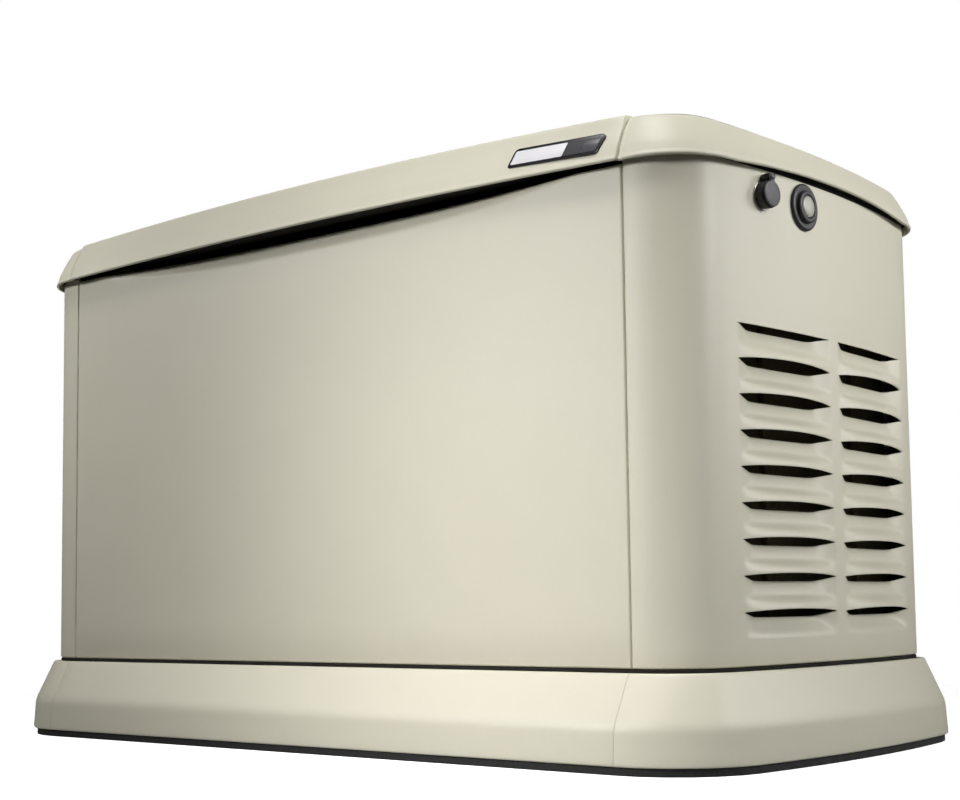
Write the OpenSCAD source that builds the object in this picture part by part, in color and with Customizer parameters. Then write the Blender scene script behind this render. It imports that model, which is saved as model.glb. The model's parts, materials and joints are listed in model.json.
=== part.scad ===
/* [Housing] */
// Length of the housing over its bowed ends
body_l = 1149.4; // [1140:0.2:1156]
// Depth of the housing over its flat faces
body_d = 559; // [556:0.5:562]
// Plan radius of the four corners
corner_r = 77.4; // [60:0.2:90]
// Plan radius of the bowed ends
end_bow_r = 1636; // [1400:1:2000]
// Height of the panels' lower edges
panel_z0 = 107; // [105:0.5:110]
// Height of the upper edge of the end and rear panels
panel_z1 = 649; // [648:0.5:650]
// Half distance between the vertical seams
seam_x = 475.7; // [470:0.1:480]
// Thickness of the aluminium panels
sheet_t = 2.5; // [1.5:0.5:3]

/* [Front panel scoop] */
// Lowest point of the scoop's bent edge
scoop_z = 622.6; // [610:0.2:635]
// Half width of the scoop
scoop_x = 412; // [350:1:440]
// Height of the front panel's upper edge
front_z1 = 645; // [640:0.5:645.5]

/* [Skirt] */
// Overall length
skirt_l = 1218; // [1212:1:1230]
// Overall depth
skirt_d = 638; // [632:1:644]
// Height of its lower edge
skirt_z0 = 9; // [6:0.5:12]
// Height of the fold between the upright band and the slope
skirt_fold_z = 48.5; // [40:0.5:60]
// Height of its upper edge
skirt_z1 = 102.4; // [95:0.2:104]
// Wall thickness
skirt_t = 3; // [2:0.5:4]

/* [Lid] */
// Overall height of the generator
total_h = 732; // [725:1:745]
// Height of the lid's lower lip at the corners
lip_z = 646; // [646:0.5:648]
// Rise of the lip at mid-length of the front and of each end
lip_arch = 7; // [0:0.5:8]
// How far the lip stands out from the panels
lip_out = 10; // [9:0.5:12]
// How far the fascia's upper edge lies inside the panels' faces
fascia_in = 8; // [4:0.5:16]
// Height of the fascia's upper edge at the two ends
edge_end_z = 692; // [686:0.5:698]
// Height of the fascia's upper edge at mid-length
edge_mid_z = 708; // [700:0.5:714]
// Wall thickness
lid_t = 3; // [2:0.5:4]

/* [Louvres] */
// Slots in each column
louvre_rows = 9; // [6:1:9]
// Distance between slots
louvre_pitch = 38.8; // [36:0.1:40]
// Height of the upper edge of the lowest slot
louvre_z0 = 163.8; // [150:0.2:170]
// Height of a slot
louvre_slot = 11; // [8:0.5:14]
// Distance from the middle of the end to a column's near side
louvre_y0 = 10; // [8:0.5:15]
// Distance from the middle of the end to a column's far side
louvre_y1 = 195; // [170:1:198]

/* [Lid hinges and side locks] */
// Distance of a hinge from the middle
hinge_x = 300; // [200:5:400]
// Hinge axis behind the rear panel's face
hinge_out = 7; // [6.8:0.1:8]
// Height of the hinge axis
hinge_z = 640.5; // [638:0.5:640.5]
// Width of a hinge
hinge_w = 60; // [40:2:80]
// Height of the locks and of the status light
control_z = 620; // [615:1:622]
// Place of the locks along the depth
lock_y = -142; // [-160:1:-130]
// Place of the status light along the depth
light_y = -61; // [-70:1:-40]

/* [Engine] */
// Height of the crankshaft's axis
crank_z = 270; // [270:1:280]
// Radius of the crankshaft
crank_r = 20; // [16:1:22]
// Angle of each cylinder from the vertical
bank_deg = 45; // [45]
// How far each cylinder is set off along the crankshaft
stagger = 18; // [12:1:18]
// Cooling fins on a barrel
fin_count = 9; // [7:1:9]
// Radius of a barrel's fins
fin_r = 62; // [56:1:62]

/* [Alternator] */
// Outer radius of the stator
stator_r = 130; // [120:1:130]
// Length of the stator
stator_l = 200; // [180:5:200]
// Radius of the rotor
rotor_r = 88; // [80:1:88]

/* [Battery] */
// Battery length, width and height
battery_size = [208, 173, 197];

/* [Controls] */
// Slope of the controller's face
face_deg = 30; // [20:1:35]
// Tilt of the breaker's handle each way
breaker_deg = 25; // [15:1:25]

/* [Hidden] */

half_l = body_l / 2;
half_d = body_d / 2;
cream = [0.87, 0.86, 0.78];
steel = [0.62, 0.63, 0.64];
cast = [0.66, 0.66, 0.67];
black = [0.1, 0.1, 0.11];
rubber = [0.13, 0.13, 0.13];

// Plan outline of the housing, anticlockwise from the front right corner. It is grown by
// gx at the ends and gy at the front and rear; the radii grow with gy.
corner_n = 6;
end_n = 8;
side_n = 12;
function arc(c, r, a0, a1, n) = [for (i = [0:n]) let (a = a0 + (a1 - a0) * i / n) c + r * [cos(a), sin(a)]];
function flip_y(p) = [for (i = [len(p) - 1:-1:0]) [p[i].x, -p[i].y]];
function turn(p) = [for (q = p) -q];
function right_end(gx, gy) =
  let (xe = half_l + gx, ye = half_d + gy, r = corner_r + gy, b = end_bow_r + gy)
  let (bow_c = xe - b, cy = ye - r, reach = sqrt(pow(b - r, 2) - cy * cy))
  let (cx = bow_c + reach, a = atan(cy / reach))
  let (low = arc([cx, -cy], r, -90, -a, corner_n), bow = arc([bow_c, 0], b, -a, 0, end_n / 2))
  let (half = concat(low, [for (i = [1:end_n / 2]) bow[i]]))
  concat(half, [for (i = [len(half) - 2:-1:0]) [half[i].x, -half[i].y]]);
function plan(gx, gy) =
  let (e = right_end(gx, gy), last = len(e) - 1, w = e[last].x, y = e[last].y)
  let (rear = [for (i = [1:side_n - 1]) [w * (1 - 2 * i / side_n), y]])
  concat(e, rear, turn(e), turn(rear));
corner_x = plan(0, 0)[0].x;
corner_y = half_d - corner_r;
function end_x(y) = half_l - end_bow_r + sqrt(end_bow_r * end_bow_r - y * y);

// Closed skin through rings of points. A loop joins its last ring to its first; otherwise
// each end is closed by a fan to a tip.
function ring_faces(n, a, b) = [for (k = [0:n - 1]) each
  [[a * n + k, a * n + (k + 1) % n, b * n + k], [a * n + (k + 1) % n, b * n + (k + 1) % n, b * n + k]]];
module loop_skin(rings) {
  n = len(rings[0]);
  m = len(rings);
  polyhedron([for (r = rings) each r], [for (j = [0:m - 1]) each ring_faces(n, j, (j + 1) % m)]);
}
module capped_skin(rings, tip_a, tip_b) {
  n = len(rings[0]);
  m = len(rings);
  points = concat([for (r = rings) each r], [tip_a, tip_b]);
  walls = [for (j = [0:m - 2]) each ring_faces(n, j, j + 1)];
  start = [for (k = [0:n - 1]) [(k + 1) % n, k, m * n]];
  finish = [for (k = [0:n - 1]) [(m - 1) * n + k, (m - 1) * n + (k + 1) % n, m * n + 1]];
  polyhedron(points, concat(walls, start, finish));
}

// A round tube along a smooth curve through a route's points.
function unit(v) = v / norm(v);
function spline(p0, p1, p2, p3, t) =
  0.5 * (2 * p1 + (p2 - p0) * t + (2 * p0 - 5 * p1 + 4 * p2 - p3) * t * t
    + (3 * p1 - p0 - 3 * p2 + p3) * t * t * t);
function smooth(p, m) = let (last = len(p) - 1)
  concat([for (i = [0:last - 1]) each [for (k = [0:m - 1])
    spline(p[max(i - 1, 0)], p[i], p[i + 1], p[min(i + 2, last)], k / m)]], [p[last]]);
function tangent(p, i) = unit(p[min(i + 1, len(p) - 1)] - p[max(i - 1, 0)]);
function side_of(p, i) = let (t = tangent(p, i))
  i == 0 ? unit(cross(t, abs(t.z) > 0.9 ? [1, 0, 0] : [0, 0, 1]))
    : let (s = side_of(p, i - 1)) unit(s - t * (s * t));
module tube(route, r, steps = 4, sides = 10) {
  p = smooth(route, steps);
  rings = [for (i = [0:len(p) - 1]) let (t = tangent(p, i), s = side_of(p, i), b = cross(t, s))
    [for (k = [0:sides - 1]) p[i] + r * (cos(360 * k / sides) * s - sin(360 * k / sides) * b)]];
  capped_skin(rings, p[0], p[len(p) - 1]);
}

// Rounded rectangle, centred.
module rounded_plate(l, w, h, r) {
  corners = [[l / 2 - r, w / 2 - r, 0], [r - l / 2, w / 2 - r, 90],
    [r - l / 2, r - w / 2, 180], [l / 2 - r, r - w / 2, 270]];
  linear_extrude(h) polygon([for (c = corners) each arc([c.x, c.y], r, c.z, c.z + 90, 5)]);
}
module box(x0, x1, y0, y1, z0, z1) {
  translate([x0, y0, z0]) cube([x1 - x0, y1 - y0, z1 - z0]);
}
module rod_x(x0, x1, y, z, r) {
  translate([x0, y, z]) rotate([0, 90, 0]) cylinder(h = x1 - x0, r = r, $fn = 64);
}
module rod_y(y0, y1, x, z, r) {
  translate([x, y1, z]) rotate([90, 0, 0]) cylinder(h = y1 - y0, r = r, $fn = 64);
}
// Extrusion along X of a profile given in Y and Z.
module along_x(x0, x1, profile) {
  translate([x0, 0, 0]) rotate([90, 0, 90]) linear_extrude(x1 - x0) polygon(profile);
}

// ---- Base ----
pad_top = 62;
pan_floor = 66;
anchor = [545, 110];
anchor_r = 6;
module anchor_holes(z0, z1) {
  for (x = [-1, 1], y = [-1, 1])
    translate([x * anchor.x, y * anchor.y, z0]) cylinder(h = z1 - z0, r = anchor_r, $fn = 48);
}
module mounting_pad() {
  color([0.22, 0.22, 0.22]) difference() {
    union() {
      linear_extrude(skirt_z0) polygon(plan(30, 35));
      translate([0, 0, skirt_z0]) linear_extrude(pad_top - skirt_z0) polygon(plan(-9, -9));
    }
    anchor_holes(-1, pad_top + 1);
  }
}
module base_pan() {
  color(steel) difference() {
    translate([0, 0, pad_top]) linear_extrude(panel_z0 - 0.5 - pad_top) polygon(plan(-3, -3));
    translate([0, 0, pan_floor]) linear_extrude(panel_z0) polygon(plan(-6, -6));
    anchor_holes(pad_top - 1, pan_floor + 1);
  }
}

// ---- Skirt ----
// Each level is [growth of the outline, height, drawn in from the outline].
skirt_gx = skirt_l / 2 - half_l;
skirt_gy = skirt_d / 2 - half_d;
skirt_top_out = 9;
skirt_levels = [
  [skirt_gx, skirt_gy, skirt_z0],
  [skirt_gx - 2.2, skirt_gy - 2.2, skirt_fold_z - 4],
  [skirt_gx - 4, skirt_gy - 4.4, skirt_fold_z + 3],
  [skirt_top_out, skirt_top_out, skirt_z1]];
function raise(p, z) = [for (q = p) [q.x, q.y, z]];
module skirt_ring() {
  outer = [for (i = [3:-1:0]) let (s = skirt_levels[i]) raise(plan(s[0], s[1]), s[2])];
  inner = [for (s = skirt_levels) raise(plan(s[0] - skirt_t, s[1] - skirt_t), s[2])];
  loop_skin(concat(outer, inner));
}
skirt_seam = seam_x + 2;
seam_gap = 0.4;
module skirt_part(x0, x1, y0, y1) {
  color(cream) intersection() {
    skirt_ring();
    box(x0, x1, y0, y1, 0, 200);
  }
}
module skirt_front() skirt_part(-skirt_seam, skirt_seam, -400, 0);
module skirt_rear() skirt_part(-skirt_seam, skirt_seam, 0, 400);
module skirt_right() skirt_part(skirt_seam + seam_gap, 700, -400, 400);
module skirt_left() skirt_part(-700, -skirt_seam - seam_gap, -400, 400);

// ---- Panels ----
panel_gap = 0.8;
front_flange = 17;
// Height of the scoop's bent edge, and how far the bent strip runs in.
function fold_z(x) = scoop_z + (front_z1 - 0.4 - scoop_z) * min(1, pow(abs(x) / scoop_x, 2.8));
function front_section(x) = let (f = fold_z(x), y = -half_d, run = (front_z1 - f) * 1.05)
  [[x, y + front_flange, panel_z0], [x, y, panel_z0], [x, y, f], [x, y + run, front_z1],
   [x, y + run + sheet_t, front_z1], [x, y + sheet_t, f - 0.5],
   [x, y + sheet_t, panel_z0 + sheet_t], [x, y + front_flange, panel_z0 + sheet_t]];
module front_panel() {
  w = seam_x - panel_gap / 2;
  stations = 24;
  rings = [for (i = [0:stations]) front_section(w * (2 * i / stations - 1))];
  color(cream) front_skin(rings);
}
// The sections are L-shaped, so their ends are closed by four-sided strips.
module front_skin(rings) {
  n = 8;
  m = len(rings);
  strips = [[0, 1, 6, 7], [1, 2, 5, 6], [2, 3, 4, 5]];
  walls = [for (j = [0:m - 2]) each ring_faces(n, j, j + 1)];
  start = [for (s = strips) [s[3], s[2], s[1], s[0]]];
  finish = [for (s = strips) [for (i = s) (m - 1) * n + i]];
  polyhedron([for (r = rings) each r], concat(walls, start, finish));
}
fuel_x = 120;
fuel_z = 150;
conduit_x = 410;
conduit_z = 200;
conduit_r = 17.5;
module rear_panel() {
  w = seam_x - panel_gap / 2;
  color(cream) difference() {
    union() {
      box(-w, w, half_d - sheet_t, half_d, panel_z0, panel_z1);
      box(-w, w, half_d - front_flange, half_d - sheet_t, panel_z0, panel_z0 + sheet_t);
    }
    rod_y(half_d - 10, half_d + 10, fuel_x, fuel_z, 20);
    rod_y(half_d - 10, half_d + 10, conduit_x, conduit_z, conduit_r);
  }
}
slot_top = [for (k = [0:louvre_rows - 1]) louvre_z0 + louvre_pitch * k];
louvre_mid = (louvre_y0 + louvre_y1) / 2;
louvre_half = (louvre_y1 - louvre_y0) / 2;
// The end panel's side edges turn in, to carry the front and rear panels.
return_w = 18;
return_top = 640;
blade_out = 7;
// A place on the right end: local +X is the outward normal, and the origin lies on the face.
module on_end(y, z) {
  translate([end_x(y), y, z]) rotate([0, 0, asin(y / end_bow_r)]) children();
}
module louvre_blades(y) {
  w = louvre_y1 - louvre_y0 + 2;
  on_end(y, 0) for (k = [0:louvre_rows - 2])
    translate([0, w / 2, 0]) rotate([90, 0, 0]) linear_extrude(w) polygon([
      [blade_out, slot_top[k]], [blade_out + sheet_t, slot_top[k]],
      [sheet_t - blade_out, slot_top[k + 1] - louvre_slot], [-blade_out, slot_top[k + 1] - louvre_slot]]);
}
module end_panel(controls) {
  x0 = seam_x + panel_gap / 2;
  difference() {
    union() {
      intersection() {
        translate([0, 0, panel_z0]) linear_extrude(panel_z1 - panel_z0) difference() {
          polygon(plan(0, 0));
          polygon(plan(-sheet_t, -sheet_t));
        }
        box(x0, 700, -400, 400, 0, 800);
      }
      for (s = [-1, 1]) scale([1, s, 1])
        box(x0, x0 + sheet_t, half_d - sheet_t - return_w, half_d - sheet_t, panel_z0 + 1, return_top);
    }
    for (s = [-1, 1])
      box(half_l - 60, half_l + 20, s * louvre_mid - louvre_half, s * louvre_mid + louvre_half,
        slot_top[0] - louvre_slot, slot_top[louvre_rows - 1]);
    on_end(lock_y, control_z) rotate([0, 90, 0]) cylinder(h = 40, r = 11.2, center = true, $fn = 64);
    if (controls)
      on_end(light_y, control_z) rotate([0, 90, 0]) cylinder(h = 40, r = 13.2, center = true, $fn = 64);
  }
  for (s = [-1, 1]) louvre_blades(s * louvre_mid);
}
module right_end_panel() color(cream) end_panel(true);
module left_end_panel() color(cream) mirror([1, 0, 0]) end_panel(false);

rail_z0 = 612;
rail_z1 = 642;
module top_rails() {
  color(steel) {
    box(-530, 530, -252, -227, rail_z0, rail_z1);
    box(-470, 470, 245, 270, rail_z0, rail_z1);
  }
}

// ---- Lid ----
function edge_z(x) = edge_end_z + (edge_mid_z - edge_end_z) * (1 - pow(x / half_l, 2));
function arch(p) = p.y < 0 && abs(p.x) < corner_x ? 1 - pow(p.x / corner_x, 2)
  : abs(p.y) < corner_y && abs(p.x) > corner_x ? 1 - pow(p.y / corner_y, 2) : 0;
function lip_ring(g, z) = [for (q = plan(g, g)) [q.x, q.y, z + lip_arch * arch(q)]];
function edge_ring(g, drop) = [for (q = plan(g, g)) [q.x, q.y, edge_z(q.x) - drop]];
function crown_ring(g, drop, s) = [for (q = plan(g, g)) let (e = edge_z(q.x))
  [s * q.x, s * q.y, e + (total_h - e) * (1 - s * s) - drop]];
crown_steps = [0.15, 0.35, 0.55, 0.75, 0.9];
shelf_z = 655;
// Inner face of the fascia at the shelf.
shelf_share = 0.12;
shelf_out = lip_out - lid_t - (lip_out + fascia_in) * shelf_share;
module lid() {
  inner = lid_t;
  outer_crown = [for (s = crown_steps) crown_ring(-fascia_in, 0, s)];
  inner_crown = [for (i = [len(crown_steps) - 1:-1:0]) crown_ring(-fascia_in - inner, inner, crown_steps[i])];
  rings = concat(outer_crown, [
    edge_ring(-fascia_in, 0),
    lip_ring(lip_out, lip_z + 4),
    lip_ring(lip_out, lip_z),
    lip_ring(lip_out - inner, lip_z),
    lip_ring(lip_out - inner, lip_z + 1.5),
    raise(plan(shelf_out, shelf_out), shelf_z),
    raise(plan(-22, -22), shelf_z),
    raise(plan(-22, -22), shelf_z + 3),
    raise(plan(shelf_out - 1.2, shelf_out - 1.2), shelf_z + 3),
    edge_ring(-fascia_in - inner, inner)], inner_crown);
  color(cream) capped_skin(rings, [0, 0, total_h], [0, 0, total_h - inner]);
}
// The fascia's outer face: how far it stands out at a height, near a given length.
function fascia_out(x, z) = lip_out - (lip_out + fascia_in) * (z - lip_z - 4) / (edge_z(x) - lip_z - 4);
badge_x = 393;
badge_z = 672;
badge_l = 127;
badge_h = 24.6;
badge_lift = 1.3;
module lid_badge() {
  lean = atan((fascia_out(badge_x, 660) - fascia_out(badge_x, 684)) / 24);
  skew = 7;
  color(black) translate([badge_x, -half_d - fascia_out(badge_x, badge_z) - badge_lift, badge_z])
    rotate([90 - lean, 0, 0]) rotate([0, 0, -3]) linear_extrude(2)
      polygon([[-badge_l / 2 - skew / 2, -badge_h / 2], [badge_l / 2 - skew / 2, -badge_h / 2],
        [badge_l / 2 + skew / 2, badge_h / 2], [-badge_l / 2 + skew / 2, badge_h / 2]]);
}
module lid_seal() {
  color(rubber) difference() {
    translate([0, 0, panel_z1]) linear_extrude(shelf_z - 0.3 - panel_z1) difference() {
      polygon(plan(0, 0));
      polygon(plan(-12, -12));
    }
    box(-seam_x, seam_x, -400, -200, 0, 800);
  }
}

// ---- Lid hinges ----
hinge_y = half_d + hinge_out;
knuckle_r = 5;
hinge_pin_r = 2.5;
knuckle_third = hinge_w / 3;
leaf_t = 2.4;
leaf_foot = 600;
module at_hinges() {
  for (x = [-hinge_x, hinge_x]) translate([x, 0, 0]) children();
}
module hinge_fixed_leaves() {
  color(steel) at_hinges() difference() {
    union() {
      box(-hinge_w / 2, hinge_w / 2, half_d, half_d + leaf_t, leaf_foot, hinge_z - knuckle_r - 1);
      for (x = [-hinge_w / 2, knuckle_third / 2]) {
        rod_x(x, x + knuckle_third, hinge_y, hinge_z, knuckle_r);
        box(x, x + knuckle_third, half_d, half_d + leaf_t, leaf_foot, hinge_z - 1);
        box(x, x + knuckle_third, half_d, hinge_y, hinge_z - knuckle_r, hinge_z - 1);
      }
    }
    rod_x(-hinge_w, hinge_w, hinge_y, hinge_z, hinge_pin_r + 0.02);
  }
}
leaf_top = 680;
module hinge_lid_leaves() {
  y0 = half_d + lip_out + 0.3;
  y1 = half_d + fascia_out(hinge_x, leaf_top) + 0.3;
  foot = lip_z + 4;
  inner_w = knuckle_third / 2 - 0.5;
  color(steel) at_hinges() difference() {
    union() {
      rod_x(-inner_w, inner_w, hinge_y, hinge_z, knuckle_r);
      box(-inner_w, inner_w, y0, y0 + 2, hinge_z, foot);
      along_x(-hinge_w / 2, hinge_w / 2, [[y0, foot], [y0 + 2, foot], [y1 + 2, leaf_top], [y1, leaf_top]]);
      box(-inner_w, inner_w, hinge_y, y0 + 1, hinge_z + 0.5, hinge_z + 4);
    }
    rod_x(-hinge_w, hinge_w, hinge_y, hinge_z, hinge_pin_r + 0.06);
  }
}
module hinge_pins() {
  color(steel) at_hinges() {
    rod_x(-hinge_w / 2 - 1, hinge_w / 2 + 1, hinge_y, hinge_z, hinge_pin_r);
    rod_x(-hinge_w / 2 - 3, -hinge_w / 2 - 1, hinge_y, hinge_z, hinge_pin_r + 1.5);
  }
}

// ---- Side locks ----
// Local +X points out of the end panel; the barrel's axis is X.
lock_flange_r = 15.5;
lock_proud = 10.6;
plug_r = 7;
ear_z = 19;
cam_x = -30;
module at_right_lock() on_end(lock_y, control_z) children();
module at_left_lock() mirror([1, 0, 0]) at_right_lock() children();
module lock_body() {
  difference() {
    union() {
      rod_x(0.1, lock_proud, 0, 0, lock_flange_r);
      rod_x(0.1, lock_proud, 0, ear_z, 5);
      rod_x(cam_x + 3, 0.1, 0, 0, 11);
      rod_x(lock_proud, lock_proud + 3.3, 0, ear_z, 2);
      rod_x(lock_proud + 3.3, lock_proud + 4.3, 0, ear_z, 3.5);
    }
    rod_x(cam_x, lock_proud + 1, 0, 0, plug_r + 0.06);
  }
}
module lock_bodies() {
  color(black) {
    at_right_lock() lock_body();
    at_left_lock() lock_body();
  }
}
module lock_plug() {
  difference() {
    union() {
      rod_x(cam_x, lock_proud - 1, 0, 0, plug_r);
      box(cam_x, cam_x + 2.7, -6, 6, 0, 30);
    }
    box(lock_proud - 7, lock_proud, -1, 1, -5, 5);
  }
}
module lock_plug_right() color(steel) at_right_lock() lock_plug();
module lock_plug_left() color(steel) at_left_lock() lock_plug();
module lock_cover() {
  x0 = lock_proud + 0.4;
  difference() {
    union() {
      rod_x(x0, x0 + 2.6, 0, 0, lock_flange_r - 1);
      box(x0, x0 + 2.6, -4, 4, 10, ear_z);
      rod_x(x0, x0 + 2.6, 0, ear_z, 4.5);
    }
    rod_x(x0 - 1, x0 + 4, 0, ear_z, 2.06);
  }
}
module lock_cover_right() color([0.3, 0.3, 0.31]) at_right_lock() lock_cover();
module lock_cover_left() color([0.3, 0.3, 0.31]) at_left_lock() lock_cover();
// Hooks that hang from the lid's shelf; a locked cam lies over the hook's foot.
module striker() {
  box(-20, -17, -34, -16, -12, shelf_z - control_z);
  box(-34, -20, -34, -16, -12, -8);
}
module lid_strikers() {
  color(steel) {
    at_right_lock() striker();
    at_left_lock() striker();
  }
}

// ---- Status light ----
module status_light_bezel() {
  color(black) on_end(light_y, control_z) difference() {
    union() {
      rod_x(0.25, 6, 0, 0, 27);
      rod_x(6, 12, 0, 0, 19);
      rod_x(-30, 0.25, 0, 0, 13);
    }
    rod_x(6, 13, 0, 0, 12.5);
  }
}
module status_light_lens() {
  color([0.66, 0.66, 0.62]) on_end(light_y, control_z) translate([6, 0, 0]) rotate([0, 90, 0])
    rotate_extrude($fn = 64) polygon(concat([[0, 0], [12.5, 0], [12.5, 5]],
      [for (a = [15:15:75]) [12.5 * cos(a), 5 + 3 * sin(a)]], [[0, 8]]));
}

// ---- Compartments ----
exhaust_wall_x = -330;
control_wall_x = 285;
wall_t = 3;
wall_half = 255;
bank_reach = 210;
port_y = bank_reach * sin(bank_deg);
port_z = crank_z + bank_reach * cos(bank_deg);
cable_y = [190, 215];
cable_z = 150;
module compartment_dividers() {
  color(steel) {
    difference() {
      box(exhaust_wall_x, exhaust_wall_x + wall_t, -wall_half, wall_half, pan_floor, rail_z0);
      for (s = [-1, 1]) rod_x(exhaust_wall_x - 5, exhaust_wall_x + 10, s * port_y, port_z, 24);
      box(exhaust_wall_x - 5, exhaust_wall_x + 10, -95, 95, 330, 560);
    }
    difference() {
      box(control_wall_x, control_wall_x + wall_t, -wall_half, 262, pan_floor, rail_z0);
      rod_x(control_wall_x - 5, control_wall_x + 10, 0, crank_z, 110);
      for (y = cable_y) rod_x(control_wall_x - 5, control_wall_x + 10, y, cable_z, 11);
    }
  }
}

// ---- Exhaust ----
muffler_x = -445;
muffler_z = 290;
muffler_r = 75;
muffler_l = 360;
exhaust_start = -250;
exhaust_bend = 36;
exhaust_r = 17;
inlet_top = muffler_z + muffler_r + 10;
module muffler() {
  color([0.5, 0.48, 0.45]) union() {
    translate([muffler_x, muffler_l / 2, muffler_z]) rotate([90, 0, 0]) rotate_extrude($fn = 96) polygon([
      [0, 0], [muffler_r - 8, 0], [muffler_r, 8],
      [muffler_r, muffler_l - 8], [muffler_r - 8, muffler_l], [0, muffler_l]]);
    for (s = [-1, 1]) translate([muffler_x, s * port_y, muffler_z])
      cylinder(h = muffler_r + 10, r = 22, $fn = 64);
    rod_x(-546, muffler_x, 0, muffler_z, 24);
    for (y = [-110, 110]) box(muffler_x - 30, muffler_x + 30, y - 2, y + 2, pan_floor, muffler_z - 20);
    for (y = [-110, 110]) box(muffler_x - 30, muffler_x + 30, y - 20, y + 20, pan_floor, pan_floor + 4);
  }
}
module exhaust_pipe(y) {
  top = port_z;
  bend_x = muffler_x + exhaust_bend;
  rod_x(bend_x + 4, exhaust_start, y, top, exhaust_r);
  rod_x(bend_x - 3, bend_x + 9, y, top, exhaust_r + 2.5);
  translate([bend_x, y, top - exhaust_bend]) rotate([90, 0, 0]) rotate([0, 0, 90])
    rotate_extrude(angle = 90, $fn = 96) translate([exhaust_bend, 0, 0]) circle(r = exhaust_r, $fn = 64);
  translate([muffler_x, y, inlet_top])
    cylinder(h = top - exhaust_bend - inlet_top + 3, r = exhaust_r + 2.5, $fn = 64);
}
module exhaust_pipes() {
  color([0.55, 0.5, 0.45]) for (s = [-1, 1]) exhaust_pipe(s * port_y);
}

// ---- Engine ----
rail_y = 120;
cradle_z0 = 100;
cradle_z1 = 130;
deck_z = 135;
case_x0 = -255;
case_x1 = -75;
engine_x = -165;
mount_x = [-265, 225];
module engine_cradle() {
  color([0.2, 0.2, 0.21]) union() {
    for (s = [-1, 1]) difference() {
      box(-295, 255, s * rail_y - 20, s * rail_y + 20, cradle_z0, cradle_z1);
      box(-300, 260, s * rail_y - 16, s * rail_y + 16, cradle_z0 - 1, cradle_z1 - 4);
    }
    box(case_x0, case_x1, -140, 140, cradle_z1, deck_z);
    box(60, 150, -140, 140, cradle_z1, deck_z);
  }
}
module vibration_mounts() {
  color(rubber) for (x = mount_x, s = [-1, 1]) translate([x, s * rail_y, pan_floor]) {
    cylinder(h = 8, r = 15, $fn = 48);
    translate([0, 0, 8]) cylinder(h = cradle_z1 - 4 - pan_floor - 8, r = 12, $fn = 48);
  }
}
base_reach = 95;
head_reach = 185;
cover_reach = 235;
case_half = 110;
// Where each cylinder's seat meets the crankcase's side and top.
seat = base_reach * sqrt(2) - case_half;
dip_x = -275;
dip_y = -60;
dip_top = 330;
module crankcase() {
  bottom = deck_z - crank_z;
  color(cast) difference() {
    union() {
      translate([0, 0, crank_z]) along_x(case_x0, case_x1, [[-95, bottom], [95, bottom], [case_half, -115],
        [case_half, seat], [seat, case_half], [-seat, case_half], [-case_half, seat], [-case_half, -115]]);
      box(dip_x - 15, case_x0 + 1, dip_y - 15, dip_y + 15, 150, 185);
      translate([dip_x, dip_y, 185]) cylinder(h = dip_top - 185, r = 9, $fn = 48);
    }
    rod_x(case_x0 - 1, case_x1 + 1, 0, crank_z, crank_r + 0.06);
    translate([dip_x, dip_y, 160]) cylinder(h = 200, r = 5, $fn = 48);
  }
}
// A cylinder's frame: local +Z runs out along its axis from the crankshaft.
module on_bank(s) {
  translate([engine_x + s * stagger, 0, crank_z]) rotate([-s * bank_deg, 0, 0]) children();
}
module barrel() {
  h = head_reach - base_reach;
  pitch = h / fin_count;
  translate([0, 0, base_reach]) cylinder(h = h, r = 48, $fn = 64);
  for (i = [0:fin_count - 1]) translate([0, 0, base_reach + i * pitch])
    cylinder(h = 3, r = fin_r, $fn = 96);
}
module cylinder_barrels() {
  color(cast) for (s = [-1, 1]) on_bank(s) barrel();
}
module head(s) {
  difference() {
    union() {
      box(-48, 48, -50, 50, head_reach, cover_reach);
      for (i = [0:5]) box(-62, 62, -64, 64, head_reach + 1 + 8.6 * i, head_reach + 4 + 8.6 * i);
      rod_x(exhaust_start - engine_x - s * stagger, 0, 0, bank_reach, 24);
      rod_y(s > 0 ? -70 : 0, s > 0 ? 0 : 70, 0, bank_reach, 20);
      rod_x(0, 63, 0, bank_reach, 13);
    }
    rod_x(50, 70, 0, bank_reach, 6);
  }
}
module cylinder_heads() {
  color(cast) for (s = [-1, 1]) on_bank(s) head(s);
}
module rocker_covers() {
  color([0.16, 0.16, 0.17]) for (s = [-1, 1]) on_bank(s) translate([0, 0, cover_reach]) {
    rounded_plate(100, 104, 6, 10);
    translate([0, 0, 6]) rounded_plate(88, 92, 32, 14);
  }
}
module spark_plugs() {
  color([0.9, 0.9, 0.88]) for (s = [-1, 1]) on_bank(s) {
    rod_x(50, 63, 0, bank_reach, 6);
    translate([63, 0, bank_reach]) rotate([0, 90, 0]) cylinder(h = 9, r = 10, $fn = 6);
    rod_x(72, 96, 0, bank_reach, 6);
  }
}
mixer_z = 478;
air_box_z0 = 515;
module intake_manifold() {
  // From the mixer's side to the head's inner port, along the bank's own direction at the end.
  port = [bank_reach * sin(bank_deg) - 70 * cos(bank_deg),
    crank_z + bank_reach * cos(bank_deg) + 70 * sin(bank_deg)];
  color([0.7, 0.7, 0.71]) union() {
    box(engine_x - 36, engine_x + 36, -32, 32, 440, 500);
    translate([engine_x, 0, 500]) cylinder(h = air_box_z0 - 500, r = 30, $fn = 64);
    for (s = [-1, 1]) tube([
      [engine_x + s * 10, s * 24, mixer_z + 4], [engine_x + s * 14, s * 60, mixer_z + 10],
      for (reach = [12, 6, 0]) [engine_x + s * stagger, s * (port[0] - reach), port[1] + reach]], 15, 3, 16);
  }
}
air_box_z1 = 600;
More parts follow.
